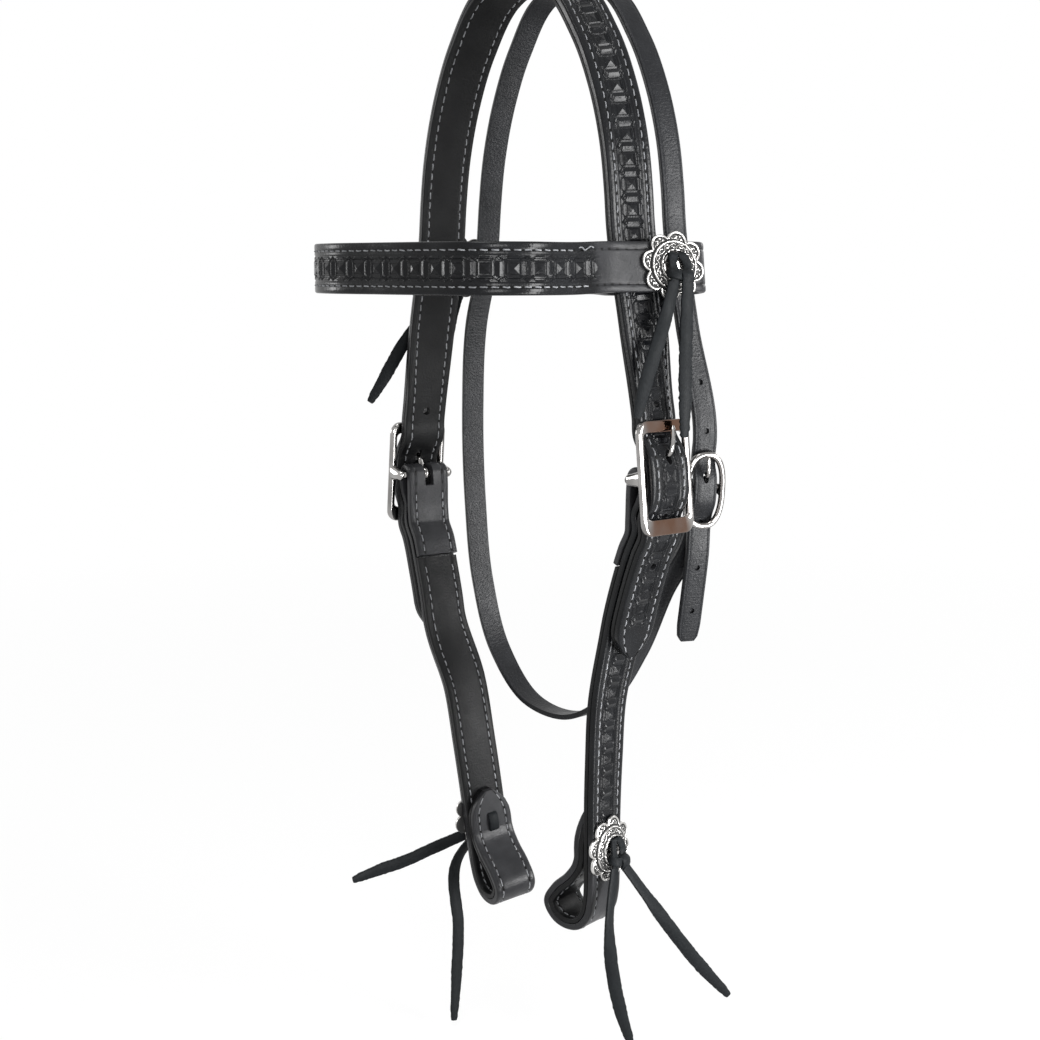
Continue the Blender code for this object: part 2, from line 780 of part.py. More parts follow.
def concho_set(name, matrix, back, front):
    """A concho, the string laced through it and the leather, its knot, and its two tails.

    The matrix stands on the strap with Z out. The string's back bridge lies at -back and the
    concho's back at +front.
    """
    concho = metal_part(name + "_concho", CONCHO)
    concho.matrix_world = matrix @ Matrix.Translation((0.0, 0.0, front))
    slit_mesh = box_mesh(name + "_slits", slit_boxes(Matrix.Identity(4), SLIT_REACH))
    slits = add_cutter(name + "_concho_slits", slit_mesh)
    slits.matrix_world = concho.matrix_world
    boolean(concho, slits, "DIFFERENCE")
    top = front + CONCHO_CROWN
    levels = [(top + over * LACE_LEATHER, rise) for over, rise in lace_over_shares]
    levels += [(front / 2, 1.0), (-back / 2, 1.0)]
    behind = [(-back - under * LACE_LEATHER, rise) for under, rise in lace_turn_shares]
    behind.append((-back - LACE_LEATHER / 2 - CLEAR, LACE_BRIDGE_SHARE))
    levels += behind + [(height, -rise) for height, rise in behind[::-1]]
    levels += [(-back / 2, -1.0), (front / 2, -1.0)]
    levels += [(top + over * LACE_LEATHER, rise) for over, rise in lace_end_shares]
    rows = []
    for height, rise in levels:
        place = matrix @ Vector((0.0, rise * LACE_SPREAD, height))
        rows.append((*place, *matrix.to_3x3().col[0]))
    run = Run(rows)
    centre, wide, _ = run.frame(run.marks)
    half_width = np.full(len(centre), LACE_WIDTH / 2)
    string_mesh = ribbon_mesh(name + "_string", centre, wide, half_width)
    lace = lace_part(name + "_concho_string", string_mesh)
    thick = lace.modifiers.new("leather", "SOLIDIFY")
    thick.thickness = LACE_LEATHER
    thick.offset = 0.0
    knot_place = matrix @ Matrix.Translation((0.0, -KNOT_DROP, top + KNOT_DEPTH / 2 + CLEAR))
    bm = bmesh.new()
    bmesh.ops.create_uvsphere(bm, u_segments=10, v_segments=6, radius=0.5)
    bm.transform(Matrix.Diagonal((KNOT_WIDTH, KNOT_HEIGHT, KNOT_DEPTH, 1.0)))
    knot = add_cutter(name + "_knot", mesh_of(bm, name + "_knot"))
    knot.matrix_world = knot_place
    boolean(lace, knot, "UNION")
    return concho, lace, knot_place


def tail(name, points, across):
    """A flat leather tail, hung from its knot."""
    run = Run([(*point, *across) for point in points])
    marks = np.linspace(0.0, run.length, max(5, round(run.length / TAIL_STEP)) + 1)
    centre, wide, _ = run.frame(marks)
    table = np.array(tail_shares)
    half = TAIL_WIDTH / 2 * np.interp(marks / run.length, table[:, 0], table[:, 1])
    piece = lace_part(name, ribbon_mesh(name, centre, wide, half))
    thick = piece.modifiers.new("leather", "SOLIDIFY")
    thick.thickness = TAIL_LEATHER
    thick.offset = 0.0
    print(name, "length", round(float(run.length), 4))
    return piece


# Heights over each buckle's bar, from the leather that stacks there
SHEET = OUTER + SEAM + LINING
SEAM_TO_FACE = SEAM / 2 + OUTER
BAR_SEAM = BAR_RADIUS + BAR_FIT - SEAM / 2
BILLET_BULGE = BAR_SEAM + SHEET + FOLD_GAP
BILLET_RAIL = BUCKLE_LIFT - CLEAR - SEAM_TO_FACE
OVAL_FOLD = OVAL_BAR_RADIUS + BAR_FIT + THROAT_LEATHER / 2
OVAL_BULGE = OVAL_FOLD + THROAT_LEATHER + OVAL_CLEAR
OVAL_RAIL_LEVEL = OVAL_LIFT - CLEAR - THROAT_LEATHER / 2
INNER_LEG = 2 * LINING + SEAM + CLEAR
POLL_SEAM = LINING + SEAM / 2
THROAT_SET = STRAP_WIDTH / 2 + STRAP_GAP + THROAT_WIDTH / 2
LOOP_OUT = SEAM_TO_FACE + LOOP_ROOM + OUTER / 2
LOOP_IN = SEAM / 2 + LINING + LOOP_ROOM + OUTER / 2
LOOP_END = THROAT_SET + THROAT_WIDTH / 2 + LOOP_END_ROOM


class Half:
    """The seats of one side of the headstall."""

    def __init__(self, name, side, drop, billet, turn, buckle_turn, bit_turn, bit_out, bit_back, bit_sway):
        self.name = name
        self.side = side
        self.drop = drop
        self.billet = billet
        self.turn = turn
        self.buckle = Seat((side * HALF_SPREAD, 0.0, -drop), side, buckle_turn, BUCKLE_LEAN)
        self.bit = Seat((side * bit_out, bit_back, -drop - CHEEK_DROP), side, bit_turn, 0.0, bit_sway)
        self.brow = None

    def arch_seats(self):
        seats = []
        for out, down in crown_arch_shares:
            place = (self.side * out * HALF_SPREAD, 0.0, POLL_SEAM - down * self.drop)
            seats.append(Seat(place, self.side, self.turn))
        return seats

    def set_brow(self, run):
        """The seat of the browband's loop, on the crown at the browband's height."""
        mark = run.nearest((self.side * HALF_SPREAD * BROW_LOOP_SHARE, 0.0, -BROW_DROP))
        spot, wide, out = (found[0] for found in run.frame(mark))
        lean = math.degrees(math.asin(out[2])) * LOOP_LEAN_SHARE
        self.brow = Seat(spot, self.side, math.degrees(math.atan2(wide[0], wide[1])), lean)
        print(self.name, "browband seat", [round(float(value), 4) for value in spot])


near = Half(
    "near",
    1,
    NEAR_DROP,
    NEAR_BILLET,
    NEAR_TURN,
    NEAR_BUCKLE_TURN,
    NEAR_BIT_TURN,
    NEAR_BIT_OUT,
    NEAR_BIT_BACK,
    NEAR_BIT_SWAY,
)
far = Half(
    "far",
    -1,
    FAR_DROP,
    FAR_BILLET,
    FAR_TURN,
    FAR_BUCKLE_TURN,
    FAR_BIT_TURN,
    FAR_BIT_OUT,
    FAR_BIT_BACK,
    FAR_BIT_SWAY,
)
halves = (near, far)
oval = Seat((OVAL_OUT, THROAT_BACK, -OVAL_DROP), 1, OVAL_TURN, OVAL_LEAN)


def billet_rows(seat, half_height, bulge, rail, below, bulge_shares, hang_shares):
    """Control points from above a buckle, through it, to a billet's hanging end."""
    rows = []
    for along, lift in bulge_shares:
        rows.append(seat.row(0.0, along * half_height, rail + lift * (bulge - rail)))
    rows += [seat.row(0.0, along * below, rail - inward * below) for along, inward in hang_shares]
    return rows


def crown_billet(half):
    return billet_rows(
        half.buckle,
        BUCKLE_HALF_HEIGHT,
        BILLET_BULGE,
        BILLET_RAIL,
        half.billet,
        billet_bulge_shares,
        billet_hang_shares,
    )


def make_crown():
    near_arch = [seat.row(0.0, 0.0, 0.0) for seat in near.arch_seats()]
    far_arch = [seat.row(0.0, 0.0, 0.0) for seat in far.arch_seats()]
    over = facing((NEAR_TURN + FAR_TURN) / 2)
    apex = [(side * APEX_FLAT, 0.0, POLL_SEAM, *over) for side in (1, -1)]
    rows = crown_billet(near)[::-1] + near_arch[::-1] + apex + far_arch + crown_billet(far)
    run = Run(rows, tips=(TIP_LENGTH, TIP_LENGTH), flats=[apex])
    punches = []
    for half in halves:
        bar = run.nearest(half.buckle.at(0.0, 0.0, BILLET_BULGE))
        tongue = bar + half.side * TONGUE_HOLE_SHARE * BUCKLE_HALF_HEIGHT
        punches.append((run.matrix(tongue), BILLET_HOLE, BILLET_SLOT, PUNCH_REACH))
        for step in (1, -1, -2):
            mark = tongue + half.side * step * BILLET_PITCH
            punches.append((run.matrix(mark), BILLET_HOLE, BILLET_HOLE, PUNCH_REACH))
    holes = punch_cutter("crown_billet_holes", punches)
    tips = (TIP_LENGTH, TIP_LENGTH)
    outer = Layer(run, SEAM / 2, SEAM_TO_FACE).make(
        "crown_strap", leather_part, STRAP_WIDTH, 0.0, run.length, tips
    )
    lining = Layer(run, -SEAM / 2 - LINING, -SEAM / 2).make(
        "crown_lining", lining_part, STRAP_WIDTH, 0.0, run.length, tips, rounded=False
    )
    for piece in (outer, lining):
        boolean(piece, holes, "DIFFERENCE")
    return run


def fold_rows(seat, radius):
    """Round the top of a centre bar, from its outer side to its inner side."""
    found = []
    for step in range(FOLD_STEPS + 1):
        angle = math.pi * step / FOLD_STEPS
        found.append(seat.row(0.0, radius * math.sin(angle), radius * math.cos(angle)))
    return found


def make_cheek(half, crown_run):
    """A cheekpiece: bit loop and pointed end, outer leg, fold round the centre bar, and flap."""
    bar = crown_run.nearest(half.buckle.at(0.0, 0.0, BILLET_BULGE))
    steps = np.array(leg_shares) * half.billet
    leg = crown_run.rows_beside(bar - half.side * steps, SHEET + FOLD_GAP)
    bit = half.bit
    loop = [bit.row(0.0, up * BIT_LOOP_DROP, out * BIT_LOOP_REACH) for out, up in bit_loop_shares]
    inner = [bit.row(0.0, share * BIT_TIP_RISE, -INNER_LEG) for share in bit_end_shares]
    run_rows = []
    for out, down in cheek_run_shares[::-1]:
        spot = bit.at(0.0, (1 - down) * CHEEK_DROP, out * BIT_LOOP_REACH)
        turn = bit.degrees + (half.buckle.degrees - bit.degrees) * (1 - down)
        run_rows.append((*spot, *facing(turn)))
    tie = [bit.row(0.0, 0.0, 0.0)]
    rows = inner + loop + tie + run_rows + leg[::-1] + fold_rows(half.buckle, BAR_SEAM)
    leg_run = Run(rows, hand=half.side)
    top = leg_run.nearest(half.buckle.at(0.0, 0.0, BAR_SEAM))
    flap_marks = top - np.array(flap_shares) * FLAP_LENGTH
    flap = leg_run.rows_beside(flap_marks, FOLD_GAP)
    flat = [loop[5], loop[6]]
    run = Run(rows + flap, hand=half.side, tips=(TIP_LENGTH, 0.0), flats=[flat])
    tips = (TIP_LENGTH, 0.0)
    outer = Layer(run, SEAM / 2, SEAM_TO_FACE).make(
        half.name + "_cheekpiece", leather_part, STRAP_WIDTH, 0.0, run.length, tips
    )
    lining_end = flap_marks[-1] - CHEEK_LINING_GAP
    lining = Layer(run, -SEAM / 2 - LINING, -SEAM / 2).make(
        half.name + "_cheek_lining", lining_part, STRAP_WIDTH, 0.0, lining_end, tips, rounded=False
    )
    slot_sides = (SLOT_WIDTH, 2 * SLOT_REACH, 2 * PUNCH_REACH + CUT_OVERRUN)
    slot_mesh = box_mesh(half.name + "_fold_slot", [(half.buckle.matrix(), slot_sides)])
    slot = add_cutter(half.name + "_fold_slot", slot_mesh)
    boolean(outer, slot, "DIFFERENCE")
    slits = box_mesh(half.name + "_bit_slits", slit_boxes(bit.matrix(), SLIT_REACH))
    slits = add_cutter(half.name + "_bit_slits", slits)
    for piece in (outer, lining):
        boolean(piece, slits, "DIFFERENCE")
    print(half.name, "cheek length", round(float(run.length), 4))
    print(half.name, "bit seat", report_flat(run, -SEAM / 2 - LINING))
    return outer, lining


def report_flat(run, level):
    """Where the flat stretch of a run lies, at a height over the run's surface."""
    first, last = run.flats[0]
    ends, _, out = run.frame([first, last])
    middle = ends.mean(axis=0) + out[0] * level
    return [round(float(value), 5) for value in (*middle, *out[0])]


def make_browband():
    """The browband: outer leather with both loops, and the lining of its front."""
    middle = (LOOP_OUT - LOOP_IN) / 2
    radius = (LOOP_OUT + LOOP_IN) / 2
    turn_in = LOOP_END - radius
    loops = {}
    for half in halves:
        seat = half.brow
        rows = [seat.standing(share * STRAP_WIDTH, -LOOP_IN) for share in loop_start_shares]
        rows += [seat.standing(share * turn_in, -LOOP_IN) for share in loop_side_shares]
        for step in range(FOLD_STEPS + 1):
            angle = math.pi * step / FOLD_STEPS
            across = turn_in + radius * math.sin(angle)
            rows.append(seat.standing(across, middle - radius * math.cos(angle)))
        rows += [seat.standing(share * turn_in, LOOP_OUT) for share in loop_side_shares[::-1]]
        rows += [seat.standing(share * STRAP_WIDTH, LOOP_OUT) for share in loop_start_shares[::-1]]
        loops[half.name] = rows
    level = (0.0, 0.0, 1.0)
    front = []
    for out, forward in brow_run_shares:
        front.append((out * BROW_HALF_WIDTH, -forward * BROW_DEPTH, -BROW_DROP, *level))
    outside = Run(loops["near"] + front + loops["far"][::-1])
    inner_ends = []
    crossings = []
    for half in halves:
        loop_mark = outside.nearest(loops[half.name][-1])
        marks = loop_mark + half.side * np.array(loop_end_shares) * STRAP_WIDTH
        inner_ends.append(outside.rows_beside(marks, OUTER + CLEAR))
        crossing = half.brow.standing(LOOP_CROSS_SHARE * STRAP_WIDTH, LOOP_SINK_SHARE * LOOP_IN)
        crossings.append(crossing)
    rows = inner_ends[0] + [crossings[0]] + loops["near"] + front
    rows += loops["far"][::-1] + [crossings[1]] + inner_ends[1][::-1]
    run = Run(rows)
    outer = Layer(run, -OUTER / 2, OUTER / 2).make(
        "browband", leather_part, STRAP_WIDTH, 0.0, run.length
    )
    ends = []
    for half in halves:
        past = (loop_end_shares[0] * STRAP_WIDTH + BROW_LINING_GAP) * half.side
        ends.append(run.nearest(loops[half.name][-1]) + past)
    lining = Layer(run, -OUTER / 2 - SEAM - LINING, -OUTER / 2 - SEAM)
    lining.make("browband_lining", lining_part, STRAP_WIDTH, ends[0], ends[1], rounded=False)
    places = {}
    slits = []
    for half in halves:
        places[half.name] = half.brow.matrix(half.side * (STRAP_WIDTH + STRAP_GAP) / 2, middle)
        slits += slit_boxes(places[half.name], SLIT_REACH)
    slit_cutter = add_cutter("browband_slits", box_mesh("browband_slits", slits))
    boolean(outer, slit_cutter, "DIFFERENCE")
    return places


def make_throat():
    """The throat latch: billet, over the poll, down and round the throat, and back to its buckle."""
    billet = billet_rows(
        oval,
        OVAL_HALF_HEIGHT,
        OVAL_BULGE,
        OVAL_RAIL_LEVEL,
        THROAT_BILLET_BELOW,
        oval_bulge_shares,
        oval_hang_shares,
    )[::-1]
    sink = THROAT_LEATHER / 2 - POLL_SEAM
    near_arch = [seat.row(THROAT_SET, 0.0, sink) for seat in near.arch_seats()][::-1]
    far_arch = [seat.row(THROAT_SET, 0.0, sink) for seat in far.arch_seats()][:-1]
    wide = np.array(facing((NEAR_TURN + FAR_TURN) / 2))
    centre = wide * THROAT_SET + np.array((0.0, 0.0, THROAT_LEATHER / 2))
    apex = [(*(centre + np.array((side * APEX_FLAT, 0.0, 0.0))), *wide) for side in (1, -1)]
    over = billet + near_arch + apex + far_arch
    round_throat = []
    for out, back, down in throat_run_shares:
        turned = FAR_TURN * max(-out, 0.0) + OVAL_TURN * max(out, 0.0)
        place = (out * HALF_SPREAD, back * THROAT_BACK, -down * THROAT_DROP)
        round_throat.append((*place, *facing(turned)))
    over_run = Run(over, tips=(THROAT_TIP, 0.0))
    bar = over_run.nearest(oval.at(0.0, 0.0, OVAL_BULGE))
    leg_marks = bar - np.array(throat_leg_shares) * OVAL_HALF_HEIGHT
    leg = over_run.rows_beside(leg_marks, THROAT_LEATHER + OVAL_CLEAR)
    rows = over + round_throat + leg + fold_rows(oval, OVAL_FOLD)
    leg_run = Run(rows)
    top_place = oval.at(0.0, 0.0, OVAL_FOLD)
    top = leg_run.nearest(top_place)
    flap_marks = top - np.array(throat_flap_shares) * THROAT_FLAP
    flap = leg_run.rows_beside(flap_marks, THROAT_LEATHER + CLEAR)
    run = Run(rows + flap, tips=(THROAT_TIP, 0.0), flats=[apex])
    strap = Layer(run, -THROAT_LEATHER / 2, THROAT_LEATHER / 2).make(
        "throat_latch", leather_part, THROAT_WIDTH, 0.0, run.length, (THROAT_TIP, 0.0), blunt_shares
    )
    tongue = bar + TONGUE_HOLE_SHARE * OVAL_HALF_HEIGHT
    reach = THROAT_LEATHER / 2 + OVAL_CLEAR / 2
    punches = [(run.matrix(tongue), THROAT_HOLE, OVAL_SLOT, reach)]
    for step in (2, 1, -1, -2, -3):
        punches.append((run.matrix(tongue + step * THROAT_PITCH), THROAT_HOLE, THROAT_HOLE, reach))
    boolean(strap, punch_cutter("throat_billet_holes", punches), "DIFFERENCE")
    low = -PUNCH_REACH
    high = OVAL_FOLD + THROAT_LEATHER / 2 + OVAL_CLEAR / 3
    place = oval.matrix() @ Matrix.Translation((0.0, 0.0, (low + high) / 2))
    sides = (OVAL_COLLAR_WIDTH + 2 * OVAL_CLEAR, 2 * OVAL_SLOT_REACH, high - low)
    slot = add_cutter("throat_fold_slot", box_mesh("throat_fold_slot", [(place, sides)]))
    boolean(strap, slot, "DIFFERENCE")
    print("throat latch length", round(float(run.length), 4))


def tongue_points(half_height, bulge, skew, tip):
    points = [(side * skew, up * half_height, out * bulge) for side, up, out in tongue_shares]
    return points + [(skew, TONGUE_TIP_SHARE * half_height, tip)]


def make_buckles():
    inner = STRAP_WIDTH / 2 + BUCKLE_SIDE_ROOM
    outline = rounded_box_outline(
        inner + BUCKLE_RAIL, -BUCKLE_HALF_HEIGHT, BUCKLE_HALF_HEIGHT, BUCKLE_CORNER
    )
    window = rounded_box_outline(
        inner,
        -BUCKLE_HALF_HEIGHT + BUCKLE_FOOT_BAR,
        BUCKLE_HALF_HEIGHT - BUCKLE_TOP_BAR,
        BUCKLE_CORNER / 2,
    )
    tip = BUCKLE_LIFT + BUCKLE_THICK + TONGUE_RADIUS + CLEAR
    cheek = {
        "outlines": (outline, window),
        "thick": BUCKLE_THICK,
        "edge": BUCKLE_EDGE,
        "lift": BUCKLE_LIFT,
        "lug_inner": inner + BUCKLE_EDGE / 2,
        "lug_width": LUG_WIDTH,
        "lug_radius": LUG_RADIUS,
        "lug_lift": BUCKLE_LIFT + BUCKLE_THICK / 2,
        "bar": BAR_RADIUS,
        "tongue": tongue_points(BUCKLE_HALF_HEIGHT, BILLET_BULGE, TONGUE_SKEW, tip),
        "tongue_radius": TONGUE_RADIUS,
        "collar": TONGUE_COLLAR,
        "collar_width": TONGUE_COLLAR_WIDTH,
    }
    made = {}
    for half in halves:
        made[half.name] = buckle(half.name + "_cheek_buckle", half.buckle, cheek)
    side = THROAT_WIDTH / 2 + OVAL_SIDE_ROOM
    tip = OVAL_LIFT + OVAL_THICK + OVAL_TONGUE_RADIUS + CLEAR
    throat = {
        "outlines": (
            oval_outline(side + OVAL_RAIL, OVAL_HALF_HEIGHT),
            oval_outline(side, OVAL_HALF_HEIGHT - OVAL_RAIL),
        ),
        "thick": OVAL_THICK,
        "edge": BUCKLE_EDGE,
        "lift": OVAL_LIFT,
        "lug_inner": side,
        "lug_width": OVAL_RAIL * OVAL_LUG_SHARE,
        "lug_radius": OVAL_LUG_RADIUS,
        "lug_lift": OVAL_LIFT + OVAL_THICK / 2,
        "bar": OVAL_BAR_RADIUS,
        "tongue": tongue_points(OVAL_HALF_HEIGHT, OVAL_BULGE, 0.0, tip),
        "tongue_radius": OVAL_TONGUE_RADIUS,
        "collar": OVAL_COLLAR,
        "collar_width": OVAL_COLLAR_WIDTH,
    }
    made["throat"] = buckle("throat_buckle", oval, throat)
    return made


CONCHO = concho_mesh()

# The strings' tails: points chosen by hand, from each knot to the tip
tail_routes = {
    "near_brow_tail_front": (
        (0.0895, 0.0037, -0.1650),
        (0.0900, -0.0050, -0.1826),
        (0.0905, -0.0161, -0.2044),
        (0.0915, -0.0225, -0.2180),
    ),
    "near_brow_tail_rear": (
        (0.0955, 0.0115, -0.1680),
        (0.0970, 0.0090, -0.1880),
        (0.0985, 0.0073, -0.2110),
        (0.0992, 0.0060, -0.2290),
    ),
    "far_brow_tail_front": (
        (-0.0840, 0.0100, -0.1660),
        (-0.0920, -0.0060, -0.1860),
        (-0.0950, -0.0210, -0.2078),
        (-0.0960, -0.0301, -0.2196),
    ),
    "far_brow_tail_rear": (
        (-0.0800, 0.0225, -0.1640),
        (-0.0840, 0.0205, -0.1820),
        (-0.0870, 0.0180, -0.2060),
    ),
    "near_bit_tail_rear": (
        (0.0720, 0.0145, -0.4800),
        (0.0760, 0.0284, -0.4995),
        (0.0820, 0.0501, -0.5277),
        (0.0880, 0.0690, -0.5497),
    ),
    "near_bit_tail_front": (
        (0.0670, -0.0110, -0.4920),
        (0.0660, -0.0080, -0.5111),
        (0.0660, -0.0009, -0.5390),
        (0.0660, 0.0095, -0.5650),
    ),
    "far_bit_tail_front": (
        (-0.0780, -0.0030, -0.4860),
        (-0.0820, -0.0180, -0.4895),
        (-0.0870, -0.0361, -0.4920),
        (-0.0920, -0.0518, -0.4951),
    ),
    "far_bit_tail_rear": (
        (-0.0760, 0.0170, -0.4980),
        (-0.0740, 0.0160, -0.5402),
        (-0.0730, 0.0130, -0.5712),
        (-0.0720, 0.0098, -0.5959),
    ),
}

# The tails that leave sideways, so that they stand on edge
level_tails = {"far_bit_tail_front"}
knot_gaps = {"near_brow": BROW_KNOT_GAP, "near_bit": BIT_KNOT_GAP}


def make_ties(brow_places):
    """Each concho with its string, and the string's two tails."""
    tied = {}
    for half in halves:
        brow_back = (LOOP_OUT + LOOP_IN + OUTER) / 2
        brow_front = brow_back + CLEAR
        bit_back = INNER_LEG + SEAM_TO_FACE
        bit_front = SEAM_TO_FACE + CLEAR
        spots = (
            ("brow", brow_places[half.name], brow_back, brow_front),
            ("bit", half.bit.matrix(), bit_back, bit_front),
        )
        for place, matrix, back, front in spots:
            name = half.name + "_" + place
            concho, lace, knot = concho_set(name, matrix, back, front)
            pieces = [concho, lace]
            gap = knot_gaps.get(name, FAR_KNOT_GAP)
            for end, step in (("front", -1), ("rear", 1)):
                across = half.side * step * KNOT_WIDTH * TAIL_START_SHARE
                outward = step * TAIL_LEATHER * TAIL_STEP_SHARE
                start = knot @ Vector((across, -KNOT_HEIGHT / 2 - gap, outward))
                label = f"{name}_tail_{end}"
                axis = matrix.to_3x3().col[1 if label in level_tails else 0]
                pieces.append(tail(label, (tuple(start), *tail_routes[label]), axis))
            tied[name] = pieces
    return tied


def report_axis(name, seat):
    """A centre bar's middle and direction, for the record's joints."""
    print(name, "bar axis", [round(float(value), 6) for value in (*seat.origin, *seat.wide)])


def main():
    crown_run = make_crown()
    for half in halves:
        half.set_brow(crown_run)
    brow_places = make_browband()
    make_throat()
    buckles = make_buckles()
    tied = make_ties(brow_places)
    for half in halves:
        outer, lining = make_cheek(half, crown_run)
        hinge = tuple(half.buckle.origin)
        hang_from([outer, lining, *tied[half.name + "_bit"]], half.name + "_cheek_hinge", hinge)
        hang_from([buckles[half.name][2]], half.name + "_tongue_hinge", hinge)
        report_axis(half.name, half.buckle)
    hang_from([buckles["throat"][2]], "throat_tongue_hinge", tuple(oval.origin))
    report_axis("throat", oval)
    print("poll seat", report_flat(crown_run, -POLL_SEAM))


main()
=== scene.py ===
# %% [markdown]
# # A western browband headstall
# The headstall hangs as if a horse wore it: crown strap over the poll, browband round the
# forehead, throat latch behind, and two cheekpieces that end in bit loops. All of it is black
# bridle leather sewn with pale thread, with stainless buckles and engraved conchos. The packed
# model gives the frame, in metres, and each soft piece is rebuilt over its plain solid.

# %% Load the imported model
import json
import math

import bmesh
import bpy
import numpy as np
from mathutils import Matrix, Vector

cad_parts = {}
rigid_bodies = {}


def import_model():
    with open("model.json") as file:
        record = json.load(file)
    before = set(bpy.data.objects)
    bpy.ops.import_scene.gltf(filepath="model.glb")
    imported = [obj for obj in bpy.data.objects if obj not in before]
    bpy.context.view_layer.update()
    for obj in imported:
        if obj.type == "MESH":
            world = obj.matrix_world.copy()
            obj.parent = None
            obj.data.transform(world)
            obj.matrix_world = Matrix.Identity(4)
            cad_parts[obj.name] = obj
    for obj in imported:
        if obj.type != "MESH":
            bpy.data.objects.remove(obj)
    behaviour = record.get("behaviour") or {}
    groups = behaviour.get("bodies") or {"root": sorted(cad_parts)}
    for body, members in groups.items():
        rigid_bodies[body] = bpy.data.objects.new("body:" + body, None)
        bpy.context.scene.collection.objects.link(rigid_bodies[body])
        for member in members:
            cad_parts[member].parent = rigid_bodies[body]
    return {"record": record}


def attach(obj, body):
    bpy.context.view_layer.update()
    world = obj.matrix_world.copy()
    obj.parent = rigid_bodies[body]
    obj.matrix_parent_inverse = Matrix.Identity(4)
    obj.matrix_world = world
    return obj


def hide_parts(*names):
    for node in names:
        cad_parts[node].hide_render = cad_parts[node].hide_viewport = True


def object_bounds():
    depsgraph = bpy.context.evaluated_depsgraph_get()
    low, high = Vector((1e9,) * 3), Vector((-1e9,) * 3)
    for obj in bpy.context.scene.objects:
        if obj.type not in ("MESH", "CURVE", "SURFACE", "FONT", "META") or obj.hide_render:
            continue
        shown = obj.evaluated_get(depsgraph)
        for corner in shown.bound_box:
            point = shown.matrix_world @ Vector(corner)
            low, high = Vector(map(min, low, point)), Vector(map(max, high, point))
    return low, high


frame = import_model()
cad_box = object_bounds()
print("CAD box", cad_box)

# %% [markdown]
# ## Camera
# The photograph was taken from the horse's left front, a little above the browband. A camera is
# placed by its azimuth and its pitch, and its matrix is written from the three view axes, because
# that is exact and needs no constraint. The focal length is in pixels of a 1040 pixel picture.

# %% The camera at the photograph's angle
PICTURE = 1040
SENSOR_MM = 36.0
FOCAL_PIXELS = 1660.0
AZIMUTH = math.radians(43.0)
PITCH = math.radians(8.6)
CAMERA_PLACE = (0.6057, -0.6582, -0.1452)

look = Vector((-math.sin(AZIMUTH) * math.cos(PITCH), math.cos(AZIMUTH) * math.cos(PITCH), -math.sin(PITCH)))
right = Vector((math.cos(AZIMUTH), math.sin(AZIMUTH), 0.0))
above = right.cross(look)
lens = bpy.data.cameras.new("studio_camera")
lens.sensor_width = SENSOR_MM
lens.lens = FOCAL_PIXELS / PICTURE * SENSOR_MM
lens.clip_start = 0.02
camera = bpy.data.objects.new("studio_camera", lens)
bpy.context.scene.collection.objects.link(camera)
axes = Matrix((right, above, -look)).transposed().to_4x4()
camera.matrix_world = Matrix.Translation(CAMERA_PLACE) @ axes
bpy.context.scene.camera = camera
print("lens", round(lens.lens, 2), "mm")

# %% [markdown]
# ## Runs
# A strap is a ribbon of leather that bends along its length and keeps its width. So each strap
# gets a run: a smooth curve whose points also carry the direction of the width. A Hermite curve
# through a few control points bends softly, and it can be measured, which puts stitches and stamps
# at true distances along the leather.

# %% Smooth curves and runs
PROBE = 0.0003


def smooth_curve(points, fine=36):
    """Points along a Hermite curve through the control points, spaced by chord."""
    points = np.array(points, float)
    chords = np.linalg.norm(np.diff(points[:, :3], axis=0), axis=1)
    knots = np.concatenate([[0.0], np.cumsum(chords)])
    slopes = np.gradient(points, knots, axis=0)
    found = []
    for i, span in enumerate(chords):
        for share in np.arange(fine) / fine:
            a = 2 * share**3 - 3 * share**2 + 1
            b = share**3 - 2 * share**2 + share
            c = 3 * share**2 - 2 * share**3
            d = share**3 - share**2
            bent = (b * slopes[i] + d * slopes[i + 1]) * span
            found.append(a * points[i] + c * points[i + 1] + bent)
    found.append(points[-1])
    return np.array(found)


